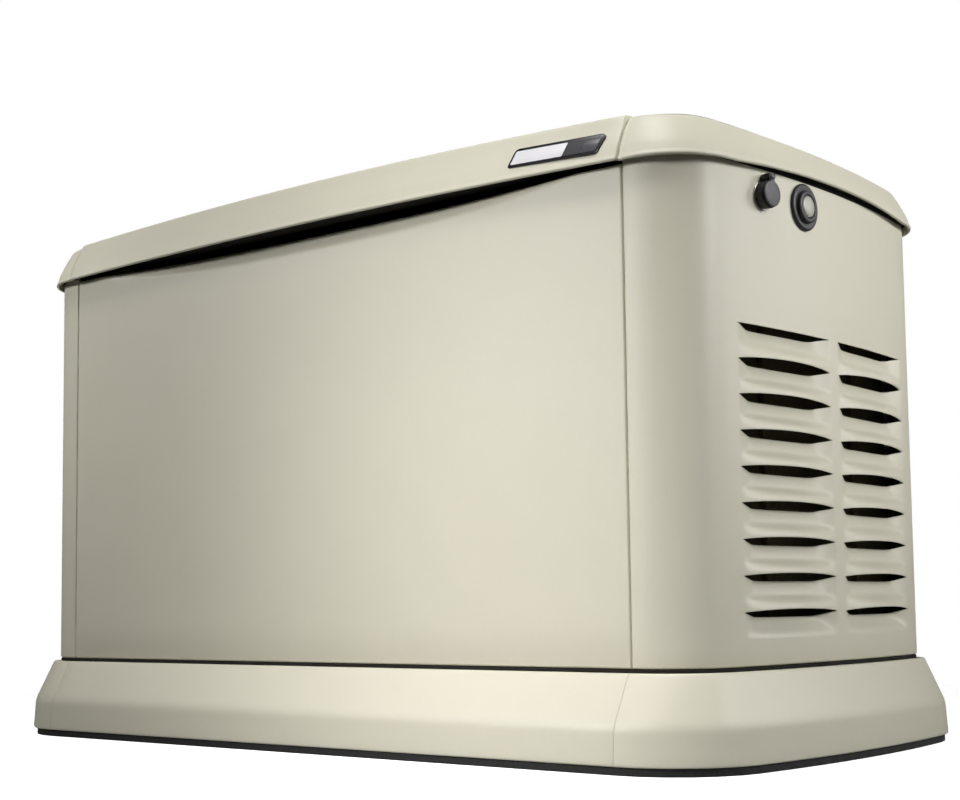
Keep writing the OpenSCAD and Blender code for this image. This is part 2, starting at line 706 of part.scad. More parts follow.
module air_box() {
  color([0.13, 0.13, 0.14]) difference() {
    union() {
      translate([-145, 0, air_box_z0]) rounded_plate(200, 250, 50, 18);
      translate([-145, 0, air_box_z0 + 50]) rounded_plate(212, 262, 6, 20);
      translate([-145, 0, air_box_z0 + 56]) rounded_plate(204, 254, air_box_z1 - air_box_z0 - 56, 18);
    }
    translate([-145, 0, air_box_z0 + 4]) rounded_plate(190, 240, 76, 14);
    translate([engine_x, 0, air_box_z0 - 1]) cylinder(h = 10, r = 26, $fn = 64);
  }
}
module oil_filter() {
  color([0.85, 0.85, 0.83]) translate([-119, -case_half, 190]) rotate([90, 0, 0]) rotate_extrude($fn = 96)
    polygon([[0, 0], [24, 0], [24, 6], [36, 8], [38, 12], [38, 84], [34, 92], [0, 92]]);
}
module dipstick() {
  color([0.85, 0.65, 0.1]) {
    translate([dip_x, dip_y, 165]) cylinder(h = dip_top + 0.4 - 165, r = 2.5, $fn = 32);
    translate([dip_x, dip_y, dip_top + 0.3]) cylinder(h = 8, r = 13, $fn = 48);
    box(dip_x - 15, dip_x + 15, dip_y - 4, dip_y + 4, dip_top + 8, dip_top + 22);
  }
}
starter = [158, 212];
starter_r = 37;
module starter_motor() {
  color([0.14, 0.14, 0.15]) union() {
    rod_x(-235, -100, starter[0], starter[1], starter_r);
    rod_x(-100, case_x1 - 1, starter[0], starter[1], 28);
    rod_y(starter[0], 206, -150, starter[1], 5);
    box(-130, -90, 100 + 10, starter[0], starter[1] - 12, starter[1] + 12);
  }
}

// ---- Fan and alternator ----
fan_x0 = -75;
fan_x1 = 5;
shroud_r = 160;
module blower_housing() {
  color([0.15, 0.15, 0.16]) difference() {
    rod_x(fan_x0, fan_x1, 0, crank_z, shroud_r);
    rod_x(fan_x0 + 4, fan_x1 - 4, 0, crank_z, shroud_r - 4);
    rod_x(fan_x0 - 1, fan_x0 + 5, 0, crank_z, 60);
    rod_x(fan_x1 - 5, fan_x1 + 1, 0, crank_z, 100);
    for (s = [-1, 1]) translate([0, 0, crank_z]) rotate([-s * bank_deg, 0, 0])
      box(fan_x0 - 1, fan_x0 + 5, -55, 55, 70, 145);
  }
}
fan_blades = 16;
fan_r = 146;
module flywheel_fan() {
  color([0.25, 0.25, 0.27]) difference() {
    union() {
      rod_x(-58, -48, 0, crank_z, fan_r);
      rod_x(-68, -14, 0, crank_z, 36);
      for (i = [0:fan_blades - 1]) translate([0, 0, crank_z]) rotate([i * 360 / fan_blades, 0, 0])
        box(-49, -12, -1.5, 1.5, 80, fan_r - 2);
    }
    rod_x(-80, 0, 0, crank_z, crank_r);
  }
}
stator_x0 = 5;
stator_x1 = stator_x0 + stator_l;
module crankshaft() {
  color([0.72, 0.72, 0.73]) union() {
    rod_x(case_x0 - 12, stator_x1 + 32, 0, crank_z, crank_r);
    rod_x(stator_x1 + 32, stator_x1 + 44, 0, crank_z, 12);
  }
}
module alternator_stator() {
  color([0.45, 0.45, 0.46]) difference() {
    union() {
      rod_x(stator_x0, stator_x1, 0, crank_z, stator_r);
      box(70, 140, -95, 95, deck_z, 190);
    }
    rod_x(stator_x0 - 1, stator_x1 + 1, 0, crank_z, rotor_r + 3);
  }
}
module alternator_rotor() {
  color([0.6, 0.38, 0.2]) difference() {
    rod_x(stator_x0 + 10, stator_x1 - 10, 0, crank_z, rotor_r);
    rod_x(stator_x0, stator_x1, 0, crank_z, crank_r);
    for (i = [0:11]) translate([0, 0, crank_z]) rotate([i * 30, 0, 0])
      box(stator_x0, stator_x1, -5, 5, rotor_r - 16, rotor_r + 5);
  }
}
carrier_t = 20;
module bearing_carrier() {
  color(cast) difference() {
    union() {
      rod_x(stator_x1, stator_x1 + 8, 0, crank_z, stator_r);
      rod_x(stator_x1, stator_x1 + carrier_t, 0, crank_z, 40);
    }
    rod_x(stator_x1 - 1, stator_x1 + carrier_t + 1, 0, crank_z, crank_r + 0.06);
    for (i = [0:5]) translate([0, 0, crank_z]) rotate([i * 60, 0, 0])
      rod_x(stator_x1 - 1, stator_x1 + 9, 0, 80, 26);
  }
}

// ---- Battery ----
battery_at = [312, -240, 72];
battery_top = battery_at.z + battery_size.z;
post_x = [battery_at.x + 30, battery_at.x + battery_size.x - 30];
post_y = -95;
module battery() {
  color([0.12, 0.12, 0.13]) {
    translate(battery_at) cube(battery_size);
    for (x = post_x) translate([x, post_y, battery_top]) cylinder(h = 14, r = 9, $fn = 48);
  }
}
tray_wall = 3;
tray_gap = 7;
module battery_tray() {
  x0 = battery_at.x - tray_gap;
  x1 = battery_at.x + battery_size.x + tray_gap;
  y0 = battery_at.y - tray_gap;
  y1 = battery_at.y + battery_size.y + tray_gap;
  color([0.18, 0.18, 0.19]) difference() {
    box(x0 - tray_wall, x1 + tray_wall, y0 - tray_wall, y1 + tray_wall, pan_floor, 92);
    box(x0, x1, y0, y1, battery_at.z, 100);
  }
}
module battery_strap() {
  y0 = battery_at.y - 1;
  y1 = battery_at.y + battery_size.y + 1;
  mid = battery_at.x + battery_size.x / 2;
  color([0.25, 0.25, 0.26]) along_x(mid - 10, mid + 10, [[y0 - 4, battery_at.z], [y0 - 4, battery_top + 4],
    [y1 + 4, battery_top + 4], [y1 + 4, battery_at.z], [y1, battery_at.z],
    [y1, battery_top], [y0, battery_top], [y0, battery_at.z]]);
}
cable_r = 5.5;
positive_route = [
  [490, -95, 283], [490, -95, 291], [490, -95, 300], [489, -84, 326], [480, -48, 332],
  [462, 0, 290], [430, 60, 220], [385, 130, 172], [336, 192, 152], [286, 215, 150],
  [210, 206, 134], [120, 195, 122], [40, 200, 128], [-40, 220, 142], [-115, 244, 168],
  [-142, 246, 196], [-150, 230, 211], [-150, 218, 212], [-150, 206, 212]];
negative_route = [
  [342, -95, 283], [342, -95, 291], [342, -95, 300], [343, -84, 324], [350, -48, 324],
  [358, 10, 240], [350, 90, 178], [324, 160, 154], [286, 190, 150], [262, 190, 141],
  [244, 182, 122], [236, 168, 114], [236, 156, 114], [236, 148, 114], [236, 140, 114]];
module battery_cables() {
  color([0.6, 0.1, 0.08]) tube(positive_route, cable_r, 3, 8);
  color(black) tube(negative_route, cable_r, 3, 8);
}

// ---- Controls ----
box_x0 = 305;
box_x1 = 520;
box_y0 = 30;
box_y1 = 250;
box_z0 = 330;
box_z1 = 590;
box_t = 2.5;
face_at = [(box_x0 + box_x1) / 2, -52, 557];
face_w = box_x1 - box_x0 - 2 * box_t - 0.6;
face_h = 130;
face_depth = 40;
module at_face() {
  translate(face_at) rotate([face_deg, 0, 0]) children();
}
module control_box() {
  color([0.75, 0.75, 0.73]) {
    difference() {
      box(box_x0, box_x1, box_y0, box_y1, box_z0, box_z1);
      box(box_x0 + box_t, box_x1 - box_t, box_y0 + box_t, box_y1 - box_t, box_z0 - 1, box_z1 - box_t);
    }
    for (x = [box_x0, box_x1 - box_t]) along_x(x, x + box_t, [
      [box_y0, 470], [box_y0, box_z1], [-5, box_z1 - 2], [-115, 524], [-90, 488]]);
  }
}
button_size = [24, 15];
button_xs = [-60, -30, 0];
button_y = -38;
module controller() {
  color([0.13, 0.14, 0.16]) at_face() difference() {
    translate([0, 0, -face_depth]) rounded_plate(face_w, face_h, face_depth, 8);
    translate([-30, 22, -2]) rounded_plate(96, 44, 3, 4);
    for (x = button_xs) translate([x, button_y, -8])
      rounded_plate(button_size.x + 0.8, button_size.y + 0.8, 9, 3.4);
  }
}
module button(i) {
  at_face() translate([button_xs[i], button_y, -4.5]) rounded_plate(button_size.x, button_size.y, 6.5, 3);
}
module button_auto() color([0.2, 0.55, 0.3]) button(0);
module button_off() color([0.8, 0.15, 0.12]) button(1);
module button_manual() color([0.85, 0.6, 0.15]) button(2);

breaker_x = 372;
breaker_z = 425;
breaker_y0 = -20;
pivot_y = breaker_y0 + 10;
module main_breaker() {
  color([0.1, 0.1, 0.1]) difference() {
    box(breaker_x - 38, breaker_x + 38, breaker_y0, box_y0, breaker_z - 55, breaker_z + 55);
    box(breaker_x - 13, breaker_x + 13, breaker_y0 - 1, breaker_y0 + 20, breaker_z - 20, breaker_z + 20);
  }
}
module breaker_handle() {
  color([0.9, 0.9, 0.88]) translate([0, pivot_y, breaker_z]) rotate([-breaker_deg, 0, 0]) union() {
    rod_x(breaker_x - 12.5, breaker_x + 12.5, 0, 0, 8);
    box(breaker_x - 8, breaker_x + 8, -34, 0, -4, 4);
  }
}

// ---- Fuel ----
regulator_z = 260;
module fuel_regulator() {
  color([0.5, 0.52, 0.54]) union() {
    rod_y(170, 214, fuel_x, regulator_z, 50);
    box(fuel_x - 45, fuel_x + 45, 213, 250, regulator_z - 35, regulator_z + 35);
    box(fuel_x - 60, fuel_x + 60, 250, half_d - sheet_t, regulator_z - 15, regulator_z + 15);
    translate([fuel_x, 230, regulator_z + 30]) cylinder(h = 25, r = 14, $fn = 48);
    translate([fuel_x, 230, fuel_z + 40]) cylinder(h = 40, r = 14, $fn = 48);
  }
}
hose_route = [
  [120, 230, 315], [120, 230, 322], [120, 230, 330], [119, 229, 350], [110, 222, 385],
  [85, 190, 425], [45, 130, 455], [-10, 60, 470], [-66, 14, 471], [-100, 0, 470],
  [-114, 0, 470], [-121, 0, 470], [-129, 0, 470]];
module fuel_hose() {
  color(rubber) tube(hose_route, 12, 4, 12);
}
port_r = 12.5;
module fuel_inlet() {
  color(steel) difference() {
    union() {
      rod_y(240, 305, fuel_x, fuel_z, 17);
      box(fuel_x - 20, fuel_x + 20, 210, 250, fuel_z - 20, fuel_z + 20);
      translate([fuel_x, 230, fuel_z]) cylinder(h = 40, r = 14, $fn = 48);
    }
    rod_y(265, 310, fuel_x, fuel_z, port_r);
  }
}

mounting_pad();
base_pan();
skirt_front();
skirt_rear();
skirt_left();
skirt_right();
front_panel();
rear_panel();
left_end_panel();
right_end_panel();
top_rails();
lid();
lid_badge();
lid_seal();
hinge_fixed_leaves();
hinge_lid_leaves();
hinge_pins();
lid_strikers();
lock_bodies();
lock_plug_right();
lock_plug_left();
lock_cover_right();
lock_cover_left();
status_light_bezel();
status_light_lens();
compartment_dividers();
muffler();
exhaust_pipes();
engine_cradle();
vibration_mounts();
crankcase();
cylinder_barrels();
cylinder_heads();
rocker_covers();
spark_plugs();
intake_manifold();
air_box();
oil_filter();
dipstick();
starter_motor();
blower_housing();
flywheel_fan();
crankshaft();
alternator_stator();
alternator_rotor();
bearing_carrier();
battery();
battery_tray();
battery_strap();
battery_cables();
control_box();
controller();
button_auto();
button_off();
button_manual();
main_breaker();
breaker_handle();
fuel_regulator();
fuel_hose();
fuel_inlet();
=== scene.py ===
import json
import math

import bmesh
import bpy
import numpy as np
from mathutils import Matrix, Vector


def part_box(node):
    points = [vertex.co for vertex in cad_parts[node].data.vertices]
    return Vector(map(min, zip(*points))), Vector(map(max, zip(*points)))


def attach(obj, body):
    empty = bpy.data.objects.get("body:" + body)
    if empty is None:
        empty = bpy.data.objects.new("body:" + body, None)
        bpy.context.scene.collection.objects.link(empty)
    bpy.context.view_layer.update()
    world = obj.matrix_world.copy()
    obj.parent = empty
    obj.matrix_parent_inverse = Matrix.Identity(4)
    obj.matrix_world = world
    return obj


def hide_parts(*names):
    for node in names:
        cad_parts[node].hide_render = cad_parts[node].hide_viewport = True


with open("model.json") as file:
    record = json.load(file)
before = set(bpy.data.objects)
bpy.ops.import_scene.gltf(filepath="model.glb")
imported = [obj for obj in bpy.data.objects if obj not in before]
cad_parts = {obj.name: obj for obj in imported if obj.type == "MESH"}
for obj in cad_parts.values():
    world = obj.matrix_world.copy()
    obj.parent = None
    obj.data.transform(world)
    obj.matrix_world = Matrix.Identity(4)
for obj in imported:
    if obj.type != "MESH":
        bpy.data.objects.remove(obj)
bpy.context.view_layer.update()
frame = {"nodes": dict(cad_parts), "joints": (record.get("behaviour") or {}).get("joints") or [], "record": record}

# Shapes are worked out in millimetres, in the frame's own axes, and written in metres.
MM = 0.001


def box_mm(node):
    low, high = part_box(node)
    return low / MM, high / MM


def middle(node):
    low, high = box_mm(node)
    return (low + high) / 2


# ---- Sizes from the frame ----
front_low, front_high = box_mm("front_panel")
seal_low, seal_high = box_mm("lid_seal")
lid_low, lid_high = box_mm("lid")
skirt_low, skirt_high = box_mm("skirt_right")
half_l = seal_high.x
half_d = -front_low.y
seam_x = front_high.x
panel_z0 = front_low.z
front_z1 = front_high.z
panel_z1 = seal_low.z
skirt_gx = skirt_high.x - half_l
skirt_gy = skirt_high.y - half_d
skirt_z0 = skirt_low.z
skirt_z1 = skirt_high.z
skirt_seam = box_mm("skirt_front")[1].x
lip_z = lid_low.z
lip_out = lid_high.x - half_l
total_h = lid_high.z

# ---- Sizes of the housing's curves ----
corner_r = 77.4
bow_r = 1636.0
corner_y = half_d - corner_r
bow_reach = math.sqrt((bow_r - corner_r) ** 2 - corner_y ** 2)
corner_x = half_l - bow_r + bow_reach
bow_angle = math.atan(corner_y / bow_reach)
tangent_y = bow_r * math.sin(bow_angle)
panel_gap = 0.8
sheet_t = 2.0


def bow_x(y):
    return half_l - bow_r + math.sqrt(bow_r ** 2 - y ** 2)


def on_end(y, z, side=1):
    """Frame on an end panel: local +X points out of the right end. The left end mirrors it."""
    place = Matrix.Translation((bow_x(y), y, z)) @ Matrix.Rotation(math.asin(y / bow_r), 4, "Z")
    return place if side > 0 else Matrix.Scale(-1, 4, (1, 0, 0)) @ place


def steps(a, b, n):
    return [a + (b - a) * i / n for i in range(n + 1)]


def end_curve(gx, gy, bow_ys, corner_n=14):
    """Points round the right end, from the front side to the rear, and their outward directions."""
    r, b = corner_r + gy, bow_r + gy
    cx = corner_x + gx - gy
    angles = steps(-math.pi / 2, -bow_angle, corner_n)
    low = [(cx + r * math.cos(a), -corner_y + r * math.sin(a), a) for a in angles]
    high = [(x, -y, -a) for x, y, a in reversed(low)]
    bow = []
    for y in bow_ys:
        a = math.asin(y / bow_r)
        bow.append((half_l + gx - b + b * math.cos(a), b * math.sin(a), a))
    return [(x, y, (math.cos(a), math.sin(a))) for x, y, a in low + bow + high]


# ---- Mesh tools ----
class Shape:
    """Vertices in millimetres, faces, and a material number for each face."""

    def __init__(self):
        self.verts, self.faces, self.mats = [], [], []

    def add(self, part, mat=0, at=None):
        verts, faces = part
        base = len(self.verts)
        self.verts += [at @ Vector(v) if at else Vector(v) for v in verts]
        flip = at is not None and at.determinant() < 0
        for f in faces:
            ids = [base + i for i in f]
            self.faces.append(ids[::-1] if flip else ids)
        self.mats += [mat] * len(faces)
        return self


def grid(rows, closed=False, skip=None, flip=False):
    """Quads between rows of points. skip(i, j) leaves a quad out."""
    n = len(rows[0])
    verts = [p for row in rows for p in row]
    faces = []
    for i in range(len(rows) - 1):
        for j in range(n if closed else n - 1):
            if skip and skip(i, j):
                continue
            k = (j + 1) % n
            quad = [i * n + j, i * n + k, (i + 1) * n + k, (i + 1) * n + j]
            faces.append(quad[::-1] if flip else quad)
    return verts, faces


def lathe(profile, n=64):
    """Turns a profile of (x, radius) round the X axis."""
    rows = []
    for x, r in profile:
        angles = steps(0, 2 * math.pi, n)[:-1]
        rows.append([(x, r * math.cos(a), r * math.sin(a)) for a in angles])
    return grid(rows, closed=True, flip=True)


def block(low, high, r=1.0, segments=2):
    """A box with rounded edges."""
    low, high = Vector(low), Vector(high)
    bm = bmesh.new()
    bmesh.ops.create_cube(bm, size=1)
    for v in bm.verts:
        v.co = Vector([(low[i] + high[i]) / 2 + v.co[i] * (high[i] - low[i]) for i in range(3)])
    bmesh.ops.bevel(bm, geom=list(bm.edges), offset=r, segments=segments, profile=0.5, affect="EDGES")
    bm.verts.index_update()
    part = [v.co.copy() for v in bm.verts], [[v.index for v in f.verts] for f in bm.faces]
    bm.free()
    return part


def rounded_outline(l, w, r, n=5, skew=0):
    """Rounded rectangle round the origin; skew slants its short sides."""
    points = []
    for sx, sy, a0 in ((1, 1, 0), (-1, 1, 90), (-1, -1, 180), (1, -1, 270)):
        for a in steps(math.radians(a0), math.radians(a0 + 90), n):
            y = sy * (w / 2 - r) + r * math.sin(a)
            points.append((sx * (l / 2 - r) + r * math.cos(a) + skew * y / w, y))
    return points


def plate(outline, z0, z1, edge=0.4):
    """A flat plate with a small rounded upper edge."""
    centre = Vector((sum(p[0] for p in outline), sum(p[1] for p in outline))) / len(outline)

    def ring(shrink, z):
        points = []
        for p in outline:
            d = Vector(p) - centre
            q = centre + d * (1 - shrink / max(d.length, shrink))
            points.append((q.x, q.y, z))
        return points

    rows = [ring(0, z0), ring(0, z1 - edge), ring(edge * 0.3, z1 - edge * 0.3), ring(edge, z1)]
    verts, faces = grid(rows, closed=True)
    n = len(outline)
    faces.append([3 * n + k for k in range(n)])
    faces.append([k for k in reversed(range(n))])
    return verts, faces


def sweep(route, r, n=12):
    """A round tube along points, with closed ends."""
    points = [Vector(p) for p in route]
    rows, side = [], None
    for i, p in enumerate(points):
        t = (points[min(i + 1, len(points) - 1)] - points[max(i - 1, 0)]).normalized()
        if side is None:
            side = t.cross(Vector((0, 0, 1)) if abs(t.z) < 0.9 else Vector((1, 0, 0)))
        side = (side - t * side.dot(t)).normalized()
        up = t.cross(side)
        angles = steps(0, 2 * math.pi, n)[:-1]
        rows.append([p + r * (math.cos(a) * side + math.sin(a) * up) for a in angles])
    verts, faces = grid(rows, closed=True)
    faces.append(list(range(n))[::-1])
    faces.append([(len(rows) - 1) * n + k for k in range(n)])
    return verts, faces


def piece(name, shape, materials, body, replaces=(), wall=0.0, bevel=0.0, sharp=35, seal=True):
    """Makes the mesh object, thickens and rounds it, parents it to its body and hides the CAD nodes it replaces.
    """
    mesh = bpy.data.meshes.new(name)
    mesh.from_pydata([v * MM for v in shape.verts], [], shape.faces)
    for polygon, index in zip(mesh.polygons, shape.mats):
        polygon.material_index = index
    for material in materials:
        mesh.materials.append(material)
    obj = bpy.data.objects.new(name, mesh)
    bpy.context.scene.collection.objects.link(obj)
    weld(mesh, seal and not wall)
    if wall:
        thick = obj.modifiers.new("wall", "SOLIDIFY")
        thick.thickness, thick.offset, thick.use_even_offset = wall * MM, -1, False
        thick.material_offset_rim = 0
        if len(materials) > 1:
            thick.material_offset = len(materials) - 1
    if bevel:
        round_edges = obj.modifiers.new("edges", "BEVEL")
        round_edges.width, round_edges.segments = bevel * MM, 2
        round_edges.limit_method, round_edges.angle_limit = "ANGLE", math.radians(sharp)
    apply_modifiers(obj)
    shade(obj.data, sharp)
    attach(obj, body)
    if replaces:
        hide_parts(*replaces)
    return obj


def weld(mesh, outward):
    bm = bmesh.new()
    bm.from_mesh(mesh)
    bmesh.ops.remove_doubles(bm, verts=bm.verts, dist=2e-6)
    bmesh.ops.dissolve_degenerate(bm, edges=bm.edges, dist=1e-6)
    if outward:
        bmesh.ops.recalc_face_normals(bm, faces=bm.faces)
    bm.to_mesh(mesh)
    bm.free()


def apply_modifiers(obj):
    if not obj.modifiers:
        return
    graph = bpy.context.evaluated_depsgraph_get()
    made = bpy.data.meshes.new_from_object(obj.evaluated_get(graph))
    obj.modifiers.clear()
    obj.data = made


def shade(mesh, sharp):
    """Smooth shading, except over edges sharper than the angle."""
    bm = bmesh.new()
    bm.from_mesh(mesh)
    for face in bm.faces:
        face.smooth = True
    for edge in bm.edges:
        edge.smooth = edge.is_manifold and edge.calc_face_angle(0) < math.radians(sharp)
    bm.to_mesh(mesh)
    bm.free()


# ---- Materials ----
def srgb(r, g, b):
    return [((c / 255 + 0.055) / 1.055) ** 2.4 if c > 10 else c / 255 / 12.92 for c in (r, g, b)] + [1]


class Graph:
    """Short ways to add, set and join the shader nodes of a material or a world."""

    def __init__(self, owner):
        owner.use_nodes = True
        self.nodes, self.links = owner.node_tree.nodes, owner.node_tree.links

    def add(self, kind, inputs=(), **settings):
        node = self.nodes.new("ShaderNode" + kind)
        for name, value in settings.items():
            setattr(node, name, value)
        self.set(node, inputs)
        return node

    def set(self, node, inputs):
        for name, value in dict(inputs).items():
            node.inputs[name].default_value = value

    def join(self, node, output, target, name):
        self.links.new(node.outputs[output], target.inputs[name])


def material(name, colour, rough, metal=0.0, grain=400, vary=0.06, bump=0.1, spots=0.0, coat=0.0,
             stretch=(1, 1, 1), rough_vary=0.08, spec=0.5):
    """A surface with its own fine colour, gloss and relief, all from noise in the frame's space."""
    mat = bpy.data.materials.new(name)
    graph = Graph(mat)
    shader = graph.nodes["Principled BSDF"]
    graph.set(shader, {"Metallic": metal, "Specular IOR Level": spec, "Coat Weight": coat,
                       "Coat Roughness": 0.25})
    place = graph.add("TexCoord")
    scale = graph.add("Mapping", {"Scale": stretch})
    graph.join(place, "Object", scale, "Vector")

    def noise(size, detail=3.0):
        made = graph.add("TexNoise", {"Scale": size, "Detail": detail})
        graph.join(scale, "Vector", made, "Vector")
        return made

    def remap(source, output, low, high, a=0.3, b=0.7):
        made = graph.add("MapRange", {"From Min": a, "From Max": b, "To Min": low, "To Max": high})
        graph.join(source, output, made, "Value")
        return made

    def toned(share):
        return [min(1, c * share) for c in colour[:3]] + [1]

    tint = graph.add("Mix", data_type="RGBA")
    graph.set(tint, {"A": toned(1 - vary), "B": toned(1 + vary)})
    broad, fine = noise(grain / 60), noise(grain, 2.0)
    half = graph.add("Math", {1: 0.5}, operation="MULTIPLY")
    blend = graph.add("Math", {1: 0.5}, operation="MULTIPLY_ADD")
    graph.join(fine, "Fac", half, 0)
    graph.join(broad, "Fac", blend, 0)
    graph.join(half, 0, blend, 2)
    graph.join(remap(blend, 0, 0, 1, 0.35, 0.65), "Result", tint, "Factor")
    if spots:
        speck = graph.add("Mix", data_type="RGBA")
        graph.set(speck, {"B": toned(1 - spots)})
        graph.join(tint, "Result", speck, "A")
        graph.join(remap(noise(grain * 2.2, 1.0), "Fac", 0, 1, 0.66, 0.74), "Result", speck, "Factor")
        tint = speck
    graph.join(tint, "Result", shader, "Base Color")
    gloss = remap(broad, "Fac", rough - rough_vary, min(1, rough + rough_vary))
    graph.join(gloss, "Result", shader, "Roughness")
    if bump:
        relief = graph.add("Bump", {"Strength": bump, "Distance": 0.0004})
        graph.join(fine, "Fac", relief, "Height")
        graph.join(relief, "Normal", shader, "Normal")
    return mat


cream = material("cream_powder_coat", srgb(216, 212, 193), 0.42, grain=900, vary=0.012, bump=0.12,
                 spots=0.06, spec=0.45, rough_vary=0.03)
# Dark foam liner: real foam under the lid and inside the end panels, and also painted shade in the gaps under the
# lid's lip and above the skirt and on the inside seen through the louvres.
foam_and_shade_liner = material("foam_liner_and_painted_shade", srgb(38, 36, 33), 0.95, grain=700, vary=0.3, bump=0.8, spec=0.2)
# Tan sheet colour behind the louvres: painted shade for the dark inside seen through the slots.
louvre_shade_mat = material("louvre_painted_shade", srgb(112, 100, 76), 0.85, grain=300, vary=0.2, bump=0.3, spec=0.2)
pad_mat = material("pad_composite", srgb(44, 44, 44), 0.85, grain=350, vary=0.25, bump=0.7)
galvanised = material("galvanised_sheet", srgb(168, 170, 172), 0.38, metal=0.9, grain=120, vary=0.12,
                      bump=0.05, rough_vary=0.12)
zinc = material("zinc_plate", srgb(178, 176, 168), 0.3, metal=1.0, grain=300, vary=0.1, bump=0.05)
rubber_mat = material("moulded_rubber", srgb(34, 34, 35), 0.75, grain=500, vary=0.15, bump=0.3)
black_plastic = material("black_plastic", srgb(38, 36, 39), 0.45, grain=900, vary=0.1, bump=0.25)
grey_plastic = material("dark_grey_plastic", srgb(88, 86, 90), 0.55, grain=900, vary=0.08, bump=0.3)
lens_mat = material("frosted_lens", srgb(172, 172, 160), 0.35, grain=1400, vary=0.14, bump=0.5, coat=0.3)
exhaust_mat = material("aluminised_steel", srgb(150, 142, 132), 0.45, metal=0.9, grain=60, vary=0.25,
                       bump=0.06, rough_vary=0.15)
black_paint = material("satin_black_enamel", srgb(30, 30, 32), 0.38, grain=600, vary=0.1, bump=0.1, coat=0.2)
cast_mat = material("cast_aluminium", srgb(166, 166, 168), 0.5, metal=0.85, grain=450, vary=0.14, bump=0.5,
                    rough_vary=0.12)
lamination = material("stator_laminations", srgb(96, 97, 99), 0.5, metal=0.6, grain=90, vary=0.35, bump=0.6,
                      stretch=(9, 0.4, 0.4))
copper_mat = material("varnished_copper", srgb(150, 86, 48), 0.35, metal=0.7, grain=110, vary=0.3, bump=0.6,
                      stretch=(0.5, 5, 5), coat=0.4)
steel_mat = material("ground_steel", srgb(188, 188, 190), 0.25, metal=1.0, grain=260, vary=0.1, bump=0.1,
                     stretch=(8, 1, 1))
ceramic_mat = material("glazed_ceramic", srgb(236, 234, 226), 0.2, grain=300, vary=0.04, bump=0.03, coat=0.6)
filter_mat = material("painted_can", srgb(226, 225, 220), 0.35, grain=500, vary=0.05, bump=0.1, coat=0.2)
yellow_mat = material("yellow_plastic", srgb(226, 176, 32), 0.42, grain=700, vary=0.06, bump=0.2)
battery_mat = material("battery_case", srgb(36, 36, 38), 0.48, grain=800, vary=0.12, bump=0.3)
red_cable = material("red_cable", srgb(168, 28, 22), 0.45, grain=600, vary=0.1, bump=0.15)
black_cable = material("black_cable", srgb(30, 30, 31), 0.5, grain=600, vary=0.12, bump=0.15)
grey_paint = material("grey_powder_coat", srgb(178, 178, 174), 0.45, grain=700, vary=0.04, bump=0.2)
green_key = material("green_key", srgb(44, 132, 66), 0.4, grain=700, vary=0.06, bump=0.15)
red_key = material("red_key", srgb(190, 34, 28), 0.4, grain=700, vary=0.06, bump=0.15)
amber_key = material("amber_key", srgb(214, 140, 36), 0.4, grain=700, vary=0.06, bump=0.15)
white_plastic = material("white_plastic", srgb(228, 227, 220), 0.4, grain=700, vary=0.04, bump=0.15)
badge_black = material("badge_black", srgb(20, 20, 22), 0.22, grain=500, vary=0.1, bump=0.03, coat=0.5)
badge_silver = material("badge_silver", srgb(236, 234, 237), 0.4, metal=0.0, grain=350, vary=0.05, bump=0.05,
                        stretch=(0.3, 4, 4), coat=0.4)
badge_grey = material("badge_grey", srgb(74, 73, 77), 0.3, grain=400, vary=0.08, bump=0.05, coat=0.5)
display_mat = material("display_glass", srgb(86, 104, 92), 0.12, grain=500, vary=0.05, bump=0.0, coat=0.8)


# ---- Skirt ----
def skirt_profile():
    """Outward growth (x, y) and height, from the foot to the rolled upper edge."""
    top = 9.0
    fold_z = 48.5
    rows = [(skirt_gx - 9, skirt_gy - 9, skirt_z0 + 0.4), (skirt_gx - 1.2, skirt_gy - 1.2, skirt_z0 + 0.2),
            (skirt_gx - 0.2, skirt_gy - 0.2, skirt_z0 + 1.4), (skirt_gx - 0.1, skirt_gy - 0.1, skirt_z0 + 5)]
    band = Vector((-2.2, fold_z - 4 - skirt_z0))
    for t in (0.35, 0.7, 0.86):
        rows.append((skirt_gx + band.x * t, skirt_gy + band.x * t, skirt_z0 + band.y * t))
    start = Vector((skirt_gy - 2.1, fold_z - 6.5))
    knee = Vector((skirt_gy - 2.6, fold_z + 1.2))
    end = knee + (Vector((top, skirt_z1)) - knee).normalized() * 9.5
    for t in steps(0, 1, 6):
        p = start * (1 - t) ** 2 + knee * 2 * t * (1 - t) + end * t * t
        rows.append((p.x + (skirt_gx - skirt_gy) * (1 - 0.1 * t), p.x, p.y))
    for t in (0.25, 0.5, 0.75, 0.93):
        p = end + (Vector((top, skirt_z1)) - end) * t
        rows.append((p.x + (skirt_gx - skirt_gy) * (1 - t) * 0.9, p.x, p.y))
    rows += [(top + 0.3, top + 0.3, skirt_z1 - 1.0), (top - 0.8, top - 0.8, skirt_z1),
             (top - 4, top - 4, skirt_z1 + 0.1), (top - 9, top - 9, skirt_z1 + 0.1)]
    return rows


def skirt_side(sign):
    """Front (sign -1) or rear (sign 1) skirt."""
    xs = [x * skirt_seam for x in steps(-1, 1, 40)]
    rows = [[(x, sign * (half_d + gy), z) for x in xs] for gx, gy, z in skirt_profile()]
    return grid(rows, flip=sign > 0)


def skirt_end(side):
    x0 = skirt_seam + 0.4
    bow = steps(-tangent_y, tangent_y, 30)[1:-1]
    rows = []
    for gx, gy, z in skirt_profile():
        curve = end_curve(gx, gy, bow)
        y = half_d + gy
        row = [(x0, -y, z), *[(x, yy, z) for x, yy, n in curve], (x0, y, z)]
        rows.append([(side * x, yy, z) for x, yy, z in row])
    return grid(rows, flip=side < 0)


